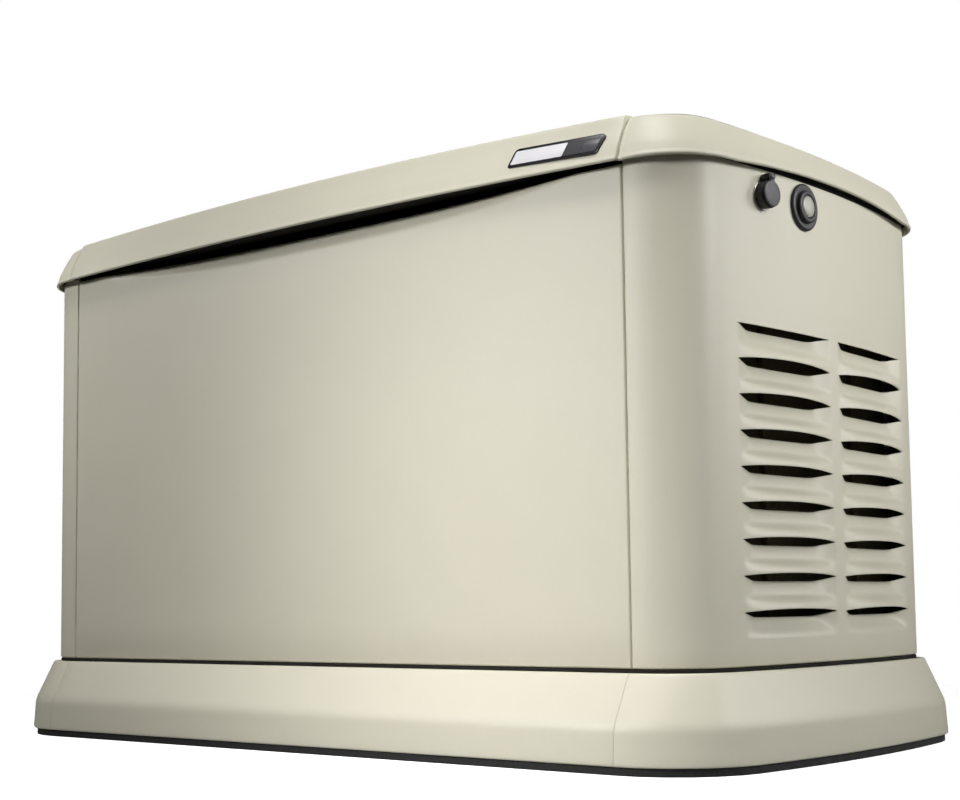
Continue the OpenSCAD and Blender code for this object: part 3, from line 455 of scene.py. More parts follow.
for name, part in (("skirt_front", skirt_side(-1)), ("skirt_rear", skirt_side(1)),
                   ("skirt_right", skirt_end(1)), ("skirt_left", skirt_end(-1))):
    piece(name + "_skin", Shape().add(part), [cream], "root", [name], wall=sheet_t, bevel=0.5)


# ---- Front panel ----
scoop_z = 622.6
scoop_x = 412.0
scoop_lean = 1.05
edge_r = 2.6
turn_in = 16.0
# A panel's rolled side edge: (distance from the side, distance in).
side_roll = [(0, turn_in), (0, edge_r), (0.25, edge_r * 0.6), (edge_r * 0.35, 0.55), (edge_r * 0.65, 0.12)]
# A panel's rolled lower edge: (distance in, height).
panel_foot = [(turn_in, panel_z0), (edge_r, panel_z0), (edge_r * 0.5, panel_z0 + 0.35),
              (0.5, panel_z0 + 1.1), (0, panel_z0 + edge_r)]


def fold_z(x):
    """Height of the fold below the scoop."""
    return scoop_z + (front_z1 - 0.4 - scoop_z) * min(1, (abs(x) / scoop_x) ** 2.8)


def edge_wrap(width):
    """Stations across a panel whose two side edges turn inward: (x, distance in)."""
    side = [(width - dx, inward) for dx, inward in side_roll]
    flat = [(x, 0) for x in steps(-width + edge_r, width - edge_r, 76)]
    return [(-x, inward) for x, inward in side] + flat + side[::-1]


def front_panel():
    """A flat sheet with rolled edges, folded back along the scoop's curve."""
    rows = []
    stations = edge_wrap(seam_x)
    foot_top = panel_z0 + edge_r

    def row(depth_height):
        points = []
        for x, inward in stations:
            depth, z = depth_height(x)
            points.append((x, -half_d + max(depth, inward), z))
        rows.append(points)

    def room_at(x):
        return min(4, front_z1 - fold_z(x))

    for depth, z in panel_foot:
        row(lambda x, depth=depth, z=z: (depth, z))
    for t in steps(0, 1, 12)[1:]:
        row(lambda x, t=t: (0, foot_top + (fold_z(x) - 4 - panel_z0 - edge_r) * t))
    for t in steps(0, 1, 5)[1:]:
        def bend(x, t=t):
            room = room_at(x)
            return room * scoop_lean * t * t, fold_z(x) - 4 * (1 - t) ** 2 + room * t * t
        row(bend)
    for t in (0.3, 0.6, 1.0):
        def strip(x, t=t):
            room = room_at(x)
            z = fold_z(x) + room + (front_z1 - fold_z(x) - room) * t
            return (z - fold_z(x)) * scoop_lean, z
        row(strip)
    return grid(rows)


piece("front_panel_skin", Shape().add(front_panel()), [cream], "front_panel", ["front_panel"],
      wall=sheet_t, sharp=40)


# ---- End panels ----
louvre_rows = 9
louvre_pitch = 38.8
louvre_z0 = 163.8
louvre_y0 = 10.0
louvre_y1 = 195.0
facet = 33.0
slot_drop = 5.5
slot_arch = 3.5
slot_z = [louvre_z0 + louvre_pitch * k for k in range(louvre_rows)]
blade_foot = 135.0
blade_top_in = -12.4
# How far a blade stands out of the face, from its lower edge (0) to its upper edge (1).
blade_shape = ((0, 7.4), (0.07, 7.8), (0.16, 6.4), (0.28, 2.6), (0.38, -1.2), (0.46, -3.6), (0.54, -4.9),
               (0.64, -5.7), (0.76, -7.4), (0.88, -9.8), (1, blade_top_in))
blade_steps = steps(0, 1, 18)


def column(y):
    """Distance from the nearer edge of the louvre column, and place across it from -1 to 1."""
    a = abs(y)
    return min(a - louvre_y0, louvre_y1 - a), (2 * a - louvre_y0 - louvre_y1) / (louvre_y1 - louvre_y0)


def ease(t):
    t = max(0.0, min(1.0, t))
    return t * t * (3 - 2 * t)


def soft_ramp(t):
    """From 0 to 1, straight, with a rounded upper end."""
    t = max(0.0, t)
    return t if t < 0.8 else 1 - 0.2 * math.exp(-(t - 0.8) / 0.2)


def blade(k, y, t):
    """Height and stand-out of a blade's surface."""
    inset, across = column(y)
    if inset < 0:
        inset, across = 0.0, 1.0
    out = float(np.interp(t, *zip(*blade_shape)))
    belly = (1 - across ** 2) ** 0.8
    taper = soft_ramp(inset / max(facet * (0.06 + 0.94 * t), 1e-6))
    top = slot_z[k] - slot_drop * soft_ramp(inset / facet)
    if k == 0:
        low = blade_foot
        out = blade_top_in * ease(t) ** 1.1
    else:
        low = slot_z[k - 1] + slot_arch * belly
    stand = max(out, 0) * belly + min(out, 0) * taper
    return low + (top - low) * t, stand


def end_panel(side):
    """An end sheet wrapped round both corners, with two columns of louvres pressed out of its bow."""
    x0 = seam_x + panel_gap
    rise = steps(0, facet, 12)
    column_ys = sorted({louvre_y0 + e for e in rise} | {louvre_y1 - e for e in rise}
                       | set(steps(louvre_y0 + facet, louvre_y1 - facet, 16)))
    inner_ys = [-204] + [-y for y in reversed(column_ys)] + [-4, 4] + column_ys + [204]
    side_edge = [(x0 + dx, -half_d, inward) for dx, inward in side_roll + [(edge_r, 0)]]
    stations = [(x, y, (0, -1), inward) for x, y, inward in side_edge]
    stations += [(x, y, n, 0) for x, y, n in end_curve(0, 0, inner_ys)]
    stations += [(x, -y, (0, 1), inward) for x, y, inward in reversed(side_edge)]
    louvred = []
    rows = []

    def row(rule):
        points, inside = [], []
        for x, y, n, inward in stations:
            on_bow = abs(y) < tangent_y and x > corner_x
            z, out = rule(y if on_bow else 999)
            out = min(out, -inward) if inward else out
            points.append((side * (x + n[0] * out), y + n[1] * out, z))
            inside.append(on_bow and column(y)[0] >= -1e-6)
        rows.append(points)
        louvred.append(inside)

    for depth, z in panel_foot + [(0, 122)]:
        row(lambda y, depth=depth, z=z: (z, -depth))
    slots = []
    for k in range(louvre_rows):
        for t in blade_steps:
            row(lambda y, k=k, t=t: blade(k, y, t))
        slots.append(len(rows) - 1)
    for z in (slot_z[-1], slot_z[-1] + 5, 510, 545, 580, 610, 635, panel_z1):
        row(lambda y, z=z: (z, 0))

    def skip(i, j):
        same_column = stations[j][1] * stations[j + 1][1] > 0
        return i in slots and louvred[i][j] and louvred[i][j + 1] and same_column

    return grid(rows, skip=skip, flip=side < 0)


# The end panels' inner faces take the dark liner: partly real foam lining, partly painted shade for the inside
# seen through the louvres.
for side, name in ((1, "right_end_panel"), (-1, "left_end_panel")):
    piece(name + "_skin", Shape().add(end_panel(side)), [cream, foam_and_shade_liner], "root", [name],
          wall=sheet_t, sharp=50)


def louvre_shade_sheet(side):
    """Sheet hung behind the louvres, with two upright ribs: painted shade that stands for the dark inside seen
    through the slots.
    """
    low, high, reach = 118, 500, 222
    shape = Shape()
    rows = []
    for z in steps(low, high, 8):
        ys = steps(-reach, reach, 24)
        rows.append([(side * (bow_x(y) - 30 - 4 * (y / 220) ** 2), y, z) for y in ys])
    shape.add(grid(rows, flip=side < 0))
    for y in (-112, 96):
        rib = block((-3, y - 4, low), (3, y + 4, high), 1)
        shape.add(rib, at=Matrix.Translation((side * (bow_x(y) - 27), 0, 0)))
    return shape


for side, name in ((1, "right"), (-1, "left")):
    piece("louvre_shade_sheet_" + name, louvre_shade_sheet(side), [louvre_shade_mat], "root", wall=1.5)


# ---- Lid ----
fascia_in = 8.0
edge_end_z = 692.0
edge_mid_z = 708.0
lip_arch = 7.0
lid_wall = 3.0
lid_round = 9.0
raise_centre = 2.6
lip_h = 7.5
edge_drop = 4.4
joint_x = corner_x - 0.3
groove = (8.4, 7.0, 5.6, 1.6)


def edge_z(x):
    return edge_end_z + (edge_mid_z - edge_end_z) * (1 - (x / half_l) ** 2)


def relief(x):
    """The middle section stands proud, and a groove runs beside it."""
    knots = [joint_x - d for d in groove] + [joint_x]
    return float(np.interp(abs(x), knots, (raise_centre, raise_centre * 0.7, -1.4, -1.4, 0)))


def arch_of(x, y):
    if y < 0 and abs(x) < corner_x:
        return 1 - (x / corner_x) ** 2
    if abs(y) < corner_y and abs(x) > corner_x:
        return 1 - (y / corner_y) ** 2
    return 0.0


def crown_z(x, y):
    """Height of the crowned top."""
    lx, ly = half_l - fascia_in - lid_round, half_d - fascia_in - lid_round
    u, v = min(1, abs(x) / lx), min(1, abs(y) / ly)
    rise = total_h - raise_centre - edge_mid_z - 2
    return edge_z(x) + 2 + rise * (1 - v ** 2) * (1 - u ** 6)


half_xs = steps(0, joint_x - groove[0], 22) + [joint_x - d for d in (7.7, 7.0, 6.3, 5.6, 1.6, 1.1, 0.5, 0)]
lid_xs = sorted({round(s * x, 3) for s in (-1, 1) for x in half_xs})
lid_bow = steps(-tangent_y, tangent_y, 30)[1:-1]


def lid_loop(g):
    """Stations round the lid, grown by g: front left to right, right end, rear, left end."""
    end = end_curve(g, g, lid_bow)[1:-1]
    y = half_d + g
    front = [(x, -y, (0, -1)) for x in [-corner_x, *lid_xs, corner_x]]
    rear = [(-x, y, (0, 1)) for x in [-corner_x, *lid_xs, corner_x]]
    left = [(-x, -yy, (-n[0], -n[1])) for x, yy, n in end]
    return front + end + rear + left


def fascia_rows():
    """(growth, height, share of the way from lip to edge) down the outside of the fascia."""
    crest = ((-lid_round, 2.0), (-6.2, 1.5), (-3.6, 0.2), (-1.6, -1.8), (-0.4, -4.4))
    rows = [(-fascia_in + g, rise, 1) for g, rise in crest]
    for t in (0.86, 0.7, 0.52, 0.34, 0.2):
        rows.append((lip_out - (lip_out + fascia_in) * t + 0.9 * math.sin(math.pi * t), 0, t))
    rolled = ((-0.9, 7.5), (-0.1, 5.2), (0.9, 3.6), (1.1, 2.0), (0.5, 0.6), (-0.8, 0.0), (-2.2, 0.5),
              (-2.9, 2.0))
    return rows + [(lip_out + g, rise, 0) for g, rise in rolled]


def fascia_lining_rows():
    """The same for the inside of the fascia, from the lip up."""
    inside = lip_out - lid_wall
    rows = [(inside, 5.0, 0), (inside - 1, 8, 0)]
    rows += [(lip_out - (lip_out + fascia_in) * t - lid_wall, 0, t) for t in (0.25, 0.5, 0.8)]
    return rows + [(-fascia_in - lid_wall, -5.5, 1), (-fascia_in - lid_wall - 2, -3.2, 1),
                   (-fascia_in - lid_round, -1.2, 1)]


def lid_row(g, up, share, push=1.0):
    """One loop round the lid. A share of 0 follows the lip's arch, and 1 follows the top edge."""
    points = []
    for x, y, n in lid_loop(g):
        lip = lip_z + lip_arch * arch_of(x, y)
        if share == 0:
            z = lip + up
        elif share == 1:
            z = edge_z(x) + up
        else:
            z = lip + lip_h + (edge_z(x) - edge_drop - lip - lip_h) * share
        out = relief(x) * push if abs(x) <= corner_x else 0.0
        lift = out if share == 1 else 0.0
        points.append((x, y + n[1] * out, z + lift))
    return points


def lid_top(drop, g):
    """The crown as rows along the lid; each row keeps its distance from the middle line."""
    end = end_curve(g, g, lid_bow)[1:-1]
    ys = [-(half_d + g)] + [yy for x, yy, n in end] + [half_d + g]
    reach = [corner_x] + [x for x, yy, n in end] + [corner_x]
    rows = []
    for y, far in zip(ys, reach):
        beyond = [corner_x + (far - corner_x) * t for t in steps(0, 1, 9)]
        xs = [-x for x in reversed(beyond)] + lid_xs + beyond
        rows.append([(x, y, crown_z(x, y) + relief(x) - drop) for x in xs])
    return grid(rows)


def lid_shell():
    """Fascia, lining and the two sides of the crowned top."""
    shape = Shape()
    rows = [lid_row(*r) for r in fascia_rows()] + [lid_row(*r, push=0.5) for r in fascia_lining_rows()]
    shape.add(grid(rows, closed=True, flip=True))
    g = -fascia_in - lid_round
    shape.add(lid_top(0, g))
    return shape.add(lid_top(lid_wall + 0.2, g))


piece("lid_shell", lid_shell(), [cream], "lid", ["lid"], sharp=45)


def band_round(section):
    """A closed band round the whole housing, from (growth, height) points."""
    rows = [[(x, y, z) for x, y, n in lid_loop(g)] for g, z in section]
    return Shape().add(grid(rows, closed=True))


def lid_shelf():
    """The turned-in flange that sits on the seal, in the dark liner as painted shade under the lid's lip."""
    out = lip_out - lid_wall - 2.4
    return band_round([(out, 655), (-21, 655), (-22, 655.8), (-22, 657.2), (-21, 658), (out - 1.2, 658),
                       (out, 655)])


def lid_foam():
    """A foam mat glued under the crown, with a rounded lower rim."""
    l, w, below = half_l - 62, half_d - 50, 17
    rows = []
    for shrink, lift in ((0, 12), (0, 3), (3, 0.4), (10, 0)):
        ring = rounded_outline(2 * (l - shrink), 2 * (w - shrink), 40, 6)
        rows.append([(x, y, crown_z(x, y) - below + lift) for x, y in ring])
    for s in (0.85, 0.65, 0.45, 0.25, 0.08):
        rows.append([(x * s, y * s, crown_z(x * s, y * s) - below) for x, y, z in rows[3]])
    n = len(rows[0])
    verts, faces = grid(rows, closed=True, flip=True)
    faces.append([len(verts) - n + k for k in range(n)])
    return Shape().add((verts, faces))


piece("lid_shelf", lid_shelf(), [foam_and_shade_liner], "lid")
piece("lid_foam", lid_foam(), [foam_and_shade_liner], "lid")


# ---- Nameplate on the lid, left blank ----
def nameplate():
    """A slanted black plate with a light and a dark field."""
    centre = middle("lid_badge")
    length, height, skew, margin, split = 127.0, 24.6, 7.0, 3.8, 0.62
    rise = edge_z(centre.x) - edge_drop - lip_z - lip_h
    lean = math.atan((lip_out + fascia_in) * 0.85 / rise)
    at = (Matrix.Translation((centre.x, -(half_d + 1.9) - raise_centre - lip_out * 0.16, centre.z))
          @ Matrix.Rotation(math.pi / 2 - lean, 4, "X") @ Matrix.Rotation(math.radians(-3), 4, "Z"))
    shape = Shape()
    shape.add(plate(rounded_outline(length, height, 5.0, 6, skew), -2.0, 1.5, 0.8), 0, at)
    inner_l, inner_h = length - 2 * margin, height - 2 * margin
    for mat, share, side in ((1, split, -1), (2, 1 - split, 1)):
        field_l = inner_l * share - 0.7
        shift = side * (inner_l - field_l) / 2
        outline = rounded_outline(field_l, inner_h, 1.6, 4, skew * inner_h / height)
        shape.add(plate([(x + shift, y) for x, y in outline], 1.2, 1.9, 0.2), mat, at)
    return shape


piece("nameplate_blank", nameplate(), [badge_black, badge_silver, badge_grey], "lid",
      ["lid_badge"], sharp=30)


# ---- Side locks ----
lock_r = 15.5
lock_proud = 10.6
cover_r = lock_r - 1
cover_gap = 0.75
ear_z = 19.0
ear_r = 4.4
washer_r = 16.6


def joint_at(name):
    """Where the frame has a joint's axis, in millimetres."""
    return Vector(next(j for j in frame["joints"] if j["name"] == name)["pos_m"]) / MM


lock_at = joint_at("lock_turn_right")
light_at = middle("status_light_lens")
light_y = light_at.y * bow_r / (bow_r + 10)


def rod(x0, x1, r, edge=0.6, n=48):
    """A solid disc or rod along X with rounded rims."""
    verts, faces = lathe([(x0, r - edge), (x0 + edge * 0.3, r - edge * 0.3), (x0 + edge, r), (x1 - edge, r),
                          (x1 - edge * 0.3, r - edge * 0.3), (x1, r - edge)], n)
    last = len(verts) - n
    return verts, faces + [list(range(n)), [last + k for k in reversed(range(n))]]


def turned(profile, n=64):
    """A closed ring turned round the X axis."""
    return lathe(profile + profile[:1], n)


def lifted(part, z):
    verts, faces = part
    return [Vector(v) + Vector((0, 0, z)) for v in verts], faces


def lock_body(shape, side):
    """The lock's barrel with its washer, and the pin that the cover hangs on."""
    at = on_end(lock_at.y, lock_at.z, side)
    top = lock_proud
    barrel = [(0.1, 8), (0.1, lock_r - 0.6), (0.8, lock_r), (top - 2.2, lock_r), (top - 1.2, lock_r - 0.4),
              (top - 0.5, lock_r - 1.2), (top, lock_r - 2.4), (top, 9.2), (top - 1.4, 7.6), (top - 1.4, 7.1),
              (-20, 7.1), (-20, 11), (0.1, 11)]
    washer = [(0.05, 15.4), (0.05, washer_r), (0.6, washer_r + 0.1), (0.9, washer_r - 0.4), (0.9, 15.4)]
    pin = [(top - 1, 0.3), (top - 1, 2), (top + 3.4, 2), (top + 3.5, 3.3), (top + 4.2, 3.5),
           (top + 4.6, 2.6), (top + 4.6, 0.3)]
    shape.add(turned(barrel), 0, at)
    shape.add(turned(washer), 1, at)
    shape.add(lifted(rod(0.2, top, 4.6, 0.9, 32), ear_z), 0, at)
    shape.add(lifted(turned(pin, 32), ear_z), 0, at)


def lock_cover(side):
    """A flat weather cover with a narrow ear, hung on the body's pin."""
    at = on_end(lock_at.y, lock_at.z, side)
    x0, neck = lock_proud + cover_gap, math.asin(3.4 / cover_r)
    disc = [(cover_r * math.sin(a), cover_r * math.cos(a)) for a in steps(neck, 2 * math.pi - neck, 44)]
    turn = steps(math.radians(52), math.radians(308), 18)
    outline = disc + [(-ear_r * math.sin(a), ear_z - ear_r * math.cos(a)) for a in turn]

    def drawn_in(y, z, inset):
        centre_z = ear_z if z > cover_r + 0.5 else 0
        return y - inset * y / cover_r, z - inset * (z - centre_z) / cover_r

    rows = []
    for x, inset in ((x0, 0.3), (x0 + 0.3, 0), (x0 + 1.5, 0), (x0 + 2.2, 0.5), (x0 + 2.6, 1.5)):
        rows.append([(x, *drawn_in(y, z, inset)) for y, z in outline])
    verts, faces = grid(rows, closed=True)
    n = len(outline)
    faces += [list(range(n))[::-1], [4 * n + k for k in range(n)]]
    rim = [(x0 + 1.9, 9.8), (x0 + 2.75, 10.0), (x0 + 2.75, 10.7), (x0 + 1.9, 10.9)]
    return Shape().add((verts, faces), 0, at).add(turned(rim, 48), 0, at)


for side, name in ((1, "right"), (-1, "left")):
    piece("lock_cover_%s_skin" % name, lock_cover(side), [grey_plastic], "lock_cover_" + name,
          ["lock_cover_" + name], sharp=32)
lock_bodies = Shape()
for side in (1, -1):
    lock_body(lock_bodies, side)
piece("lock_bodies_skin", lock_bodies, [black_plastic, zinc], "root", ["lock_bodies"],
      sharp=32)


# ---- Status light ----
def status_bezel():
    """A toothed flange with a raised ring round the lens."""
    at = on_end(light_y, light_at.z)
    flange = [(-18, 9), (-18, 13), (0.25, 13), (0.25, 26.4), (0.8, 27), (2.4, 27), (3.2, 26.5), (3.9, 25.2),
              (4.1, 23.4), (3.9, 21.4), (3.6, 20.2), (3.7, 19.2)]
    ring = [(4.8, 18.9), (7.1, 18.5), (7.8, 17.8), (8.2, 16.6), (8.2, 14.6), (7.8, 13.5), (7.0, 12.9),
            (4.3, 12.7), (4.3, 9)]
    shape = Shape().add(turned(flange + ring, 96), 0, at)
    for a in steps(0, 2 * math.pi, 40)[:-1]:
        tooth = Matrix.Rotation(a, 4, "X") @ Matrix.Translation((0, 0, 26.6))
        shape.add(block((0.8, -0.9, -0.5), (2.7, 0.9, 0.35), 0.3, 1), 0, at @ tooth)
    return shape


def status_lens():
    """A frosted dome with fine concentric prisms."""
    at = on_end(light_y, light_at.z)
    profile = [(4.2, 0.4), (4.2, 12.4), (6.4, 12.5)]
    for i, r in enumerate(steps(12.3, 0.4, 34)):
        dome = 6.7 + 2.8 * math.sqrt(max(0, 1 - (r / 12.5) ** 2))
        profile.append((dome + (0.16 if i % 2 else 0), r))
    return Shape().add(turned(profile, 96), 0, at)


piece("status_light_bezel_skin", status_bezel(), [black_plastic], "root",
      ["status_light_bezel"])
piece("status_light_lens_skin", status_lens(), [lens_mat], "root", ["status_light_lens"], sharp=60)


# ---- Painted shade: a dark band in the gap between skirt and panels ----
def sill_shade_band():
    low, high = skirt_z1 + 0.2, panel_z0 - 0.5
    return band_round([(-1.6, low), (-0.8, low + 0.6), (-0.8, high - 0.6), (-1.6, high), (-9, high), (-9, low),
                       (-1.6, low)])


piece("sill_shade_band", sill_shade_band(), [foam_and_shade_liner], "root")


# ---- Small hardware ----
def facing(point, direction, turn=0.0):
    """A frame at a point whose local +X runs in the direction."""
    d = Vector(direction).normalized()
    return (Matrix.Translation(point) @ d.to_track_quat("X", "Z").to_matrix().to_4x4()
            @ Matrix.Rotation(turn, 4, "X"))


def hex_bolt(r=5.0, h=4.5):
    """A flanged hex head, local +X outward."""
    flange = [(0, 0.4), (0, r * 1.35), (0.5, r * 1.4), (1.1, r * 1.2), (1.1, 0.4)]
    head = [(1.0, 0.4), (1.0, r), (h - 0.9, r), (h, r * 0.84), (h + 0.05, 0.4)]
    verts, faces = turned(flange, 20)
    more, sides = turned(head, 6)
    return verts + more, faces + [[len(verts) + i for i in f] for f in sides]


def pan_screw(r=5.0, h=2.6):
    """A domed screw with a round drive recess."""
    recess = h - 1.4
    dome = [(0, 0.5), (0, r), (0.5, r), (h * 0.7, r * 0.82), (h, r * 0.5), (h, 2.0), (recess, 1.8),
            (recess, 0.5)]
    return turned(dome, 24)


def fasteners(part, places):
    shape = Shape()
    for at in places:
        shape.add(part, 0, at)
    return shape


def curve(route, n=6):
    """A smooth line through given points."""
    p = [Vector(q) for q in route]
    p = [2 * p[0] - p[1]] + p + [2 * p[-1] - p[-2]]
    points = []
    for i in range(1, len(p) - 2):
        for t in steps(0, 1, n)[:-1]:
            a, b, c, d = p[i - 1:i + 3]
            points.append(0.5 * (2 * b + (c - a) * t + (2 * a - 5 * b + 4 * c - d) * t * t
                                 + (3 * b - a - 3 * c + d) * t ** 3))
    return points + [p[-2]]


# ---- Rear: hinge screws, panel screws and two grommets ----
rearward = (0, 1, 0)
hinge_x = box_mm("hinge_fixed_leaves")[1].x - 30
leaf_face = half_d + 2.4
leaf_holes = (-20, 0, 20)
fixed_screws = [facing((s * hinge_x + dx, leaf_face, 612), rearward) for s in (-1, 1) for dx in leaf_holes]
piece("hinge_screws_fixed", fasteners(pan_screw(4.2, 2.2), fixed_screws), [zinc], "root")

leaf_lean = math.atan((lip_out + fascia_in) / (edge_z(hinge_x) - lip_z - 4))
screw_z = 670
screw_y = half_d + lip_out - (screw_z - lip_z - 4) * math.tan(leaf_lean) + 2.6
out_of_leaf = (0, math.cos(leaf_lean), math.sin(leaf_lean))
lid_screws = [facing((s * hinge_x + dx, screw_y, screw_z), out_of_leaf) for s in (-1, 1) for dx in (-5, 5)]
piece("hinge_screws_lid", fasteners(pan_screw(3.2, 1.8), lid_screws), [zinc], "lid")

edge_screw_x = seam_x - 14
screw_xs = (-edge_screw_x, -160, 160, edge_screw_x)
panel_screws = [facing((x, half_d, z), rearward) for x in screw_xs for z in (128, 590)]
panel_screws += [facing((s * edge_screw_x, half_d, 360), rearward) for s in (-1, 1)]
piece("rear_panel_screws", fasteners(pan_screw(5.5, 2.8), panel_screws), [zinc], "root")


def rear_grommets():
    """Rubber rings in the fuel and the conduit hole."""
    shape = Shape()
    for x, z, hole in ((120, 150, 20.0), (410, 200, 17.5)):
        ring = [(-3.4, hole - 0.2), (-3.4, hole + 4), (-2.2, hole + 4), (-2.2, hole - 0.1), (0.2, hole - 0.1),
                (0.2, hole + 4.6), (1.2, hole + 4.4), (2.0, hole + 2.6), (2.0, hole - 1.0), (-1, hole - 1.6)]
        shape.add(turned(ring, 48), 0, facing((x, half_d, z), rearward))
    return shape


piece("rear_grommets", rear_grommets(), [rubber_mat], "root")

# ---- Engine details ----
crank_at = joint_at("crank_spin")
engine_x = middle("cylinder_barrels").x
stagger = 18.0
plug_z = 210.0
cover_top = 273.0
cover_foot = 241.0
blower_x = box_mm("blower_housing")[1].x
carrier_x = box_mm("bearing_carrier")[1].x
foot_z = box_mm("crankcase")[0].z
barrels_low, barrels_high = box_mm("cylinder_barrels")


def bank(s):
    """Frame of a cylinder: local +Z runs out along it. s is 1 for the rear one and -1 for the front one."""
    return (Matrix.Translation((engine_x + s * stagger, 0, crank_at.z))
            @ Matrix.Rotation(math.radians(-45 * s), 4, "X"))


def round_the_shaft(x, r, n, start):
    """Places on a circle round the crankshaft, facing right."""
    places = []
    for a in steps(start, start + 2 * math.pi, n)[:-1]:
        places.append(facing((x, r * math.cos(a), crank_at.z + r * math.sin(a)), (1, 0, 0), a))
    return places


def upward(x, y, z):
    """A frame whose local +X runs up."""
    return Matrix.Translation((x, y, z)) @ Matrix.Rotation(-math.pi / 2, 4, "Y")


def engine_bolts():
    """Bolts of the rocker covers, blower, bearing carrier, engine and alternator feet, and regulator."""
    foot_y, regulator_r = 128, 43
    places = [bank(s) @ upward(x, y, cover_foot) for s in (-1, 1) for x in (-44, 44) for y in (-46, 46)]
    places += round_the_shaft(blower_x, 150, 8, 0.4)
    places += round_the_shaft(carrier_x - 12, 118, 6, 0.52)
    places += round_the_shaft(carrier_x, 33, 4, 0.3)
    places += [upward(x, y, foot_z) for x in (barrels_low.x, barrels_high.x) for y in (-foot_y, foot_y)]
    places += [upward(x, s * foot_y, foot_z) for x in (72, 138) for s in (-1, 1)]
    front = box_mm("fuel_regulator")[0].y
    for a in steps(0, 2 * math.pi, 8)[:-1]:
        x, z = middle("fuel_regulator").x + regulator_r * math.cos(a), 260 + regulator_r * math.sin(a)
        places.append(facing((x, front, z), (0, -1, 0)))
    return fasteners(hex_bolt(4.6, 4.2), places)


piece("engine_bolts", engine_bolts(), [zinc], "root")


def cover_ribs():
    """Cast ribs along the rocker covers and a filler cap on the front one."""
    shape = Shape()
    for s in (-1, 1):
        for y in (-30, -15, 0, 15, 30):
            shape.add(block((-36, y - 1.6, cover_top - 6), (36, y + 1.6, cover_top + 2.4), 1.2), 0, bank(s))
    cap = [(-3, 0.5), (-3, 15), (4, 15), (5, 17), (14, 17), (16, 15), (16, 0.5)]
    shape.add(turned(cap, 40), 1, bank(-1) @ upward(8, 0, cover_top + 2))
    for a in steps(0, 2 * math.pi, 14)[:-1]:
        grip = upward(8, 0, cover_top + 2) @ Matrix.Rotation(a, 4, "X")
        shape.add(block((5, -1.2, 16.2), (14, 1.2, 18.4), 0.6, 1), 1, bank(-1) @ grip)
    return shape


piece("rocker_cover_ribs", cover_ribs(), [black_paint, black_plastic], "root")


def ignition():
    """Coils on the blower housing, with a lead and a boot to each plug."""
    shape = Shape()
    for s in (-1, 1):
        coil = Vector((-50, 52 * s, crank_at.z + 150))
        shape.add(block(coil - Vector((17, 15, 6)), coil + Vector((17, 15, 20)), 3), 0)
        shape.add(block(coil + Vector((-24, -4, -6)), coil + Vector((24, 4, 8)), 1.5), 1)
        tip = bank(s) @ Vector((92, 0, plug_z))
        neck = bank(s) @ Vector((74, 0, plug_z))
        far = bank(s) @ Vector((112, 0, plug_z))
        shape.add(sweep([neck, tip], 9.5, 20), 0)
        lead = [tip, far, (far + coil) / 2 + Vector((10, 6 * s, 34)), coil + Vector((6, 22 * s, 26)),
                coil + Vector((0, 12 * s, 14))]
        shape.add(sweep(curve(lead, 8), 3.6, 12), 0)
    return shape


piece("ignition_coils_and_leads", ignition(), [rubber_mat, lamination], "root")


def air_box_clips():
    """Three over-centre wire clips on each side of the air box."""
    low, high = box_mm("air_box")
    seam_z = low.z + 53
    wire = curve([(0, -2.5, -20), (0, 1.6, -16), (0, 2.6, -4), (0, 2.8, 4), (0, 0.8, 12), (0, -3.4, 14)], 4)
    shape = Shape()
    for x in (low.x + 40, (low.x + high.x) / 2, high.x - 40):
        for s, y in ((-1, low.y), (1, high.y)):
            at = Matrix.Translation((x, y, seam_z)) @ Matrix.Scale(s, 4, (0, 1, 0))
            for dx in (-7, 7):
                shape.add(sweep([p + Vector((dx, 0, 0)) for p in wire], 1.3, 8), 0, at)
            shape.add(block((-8.5, -3.6, 11), (8.5, 1.6, 15.5), 1.2, 1), 0, at)
            shape.add(block((-8.5, -1.5, -17), (8.5, 2.6, -11), 1.2, 1), 0, at)
    return shape


piece("air_box_clips", air_box_clips(), [zinc], "root")


def filter_flutes():
    """Wrench flutes round the closed end of the oil filter."""
    centre = middle("oil_filter")
    front = box_mm("oil_filter")[0].y
    shape = Shape()
    for a in steps(0, 2 * math.pi, 15)[:-1]:
        flute = Matrix.Translation((centre.x, front, centre.z)) @ Matrix.Rotation(a, 4, "Y")
        shape.add(block((-3.2, 5, 35.6), (3.2, 26, 38.6), 1.2, 1), 0, flute)
    return shape


piece("oil_filter_flutes", filter_flutes(), [filter_mat], "root")


def hose_clamps():
    """A worm-drive clamp at each end of the fuel hose."""
    band = [(-5, 12.1), (-5, 12.9), (-4.4, 13.3), (4.4, 13.3), (5, 12.9), (5, 12.1)]
    worm = [(-11, 0.4), (-11, 3), (9, 3), (9, 0.4)]
    shape = Shape()
    for point, direction in (((120, 230, 320), (0, 0, 1)), ((-118, 0, 470), (1, 0, 0))):
        at = facing(point, direction)
        shape.add(turned(band, 48), 0, at)
        shape.add(block((-6, -6, 12.6), (6, 6, 18), 1, 1), 0, at)
        shape.add(turned(worm, 12), 0, at @ Matrix.Translation((0, 0, 15.5)))
    return shape


piece("hose_clamps", hose_clamps(), [zinc], "root")

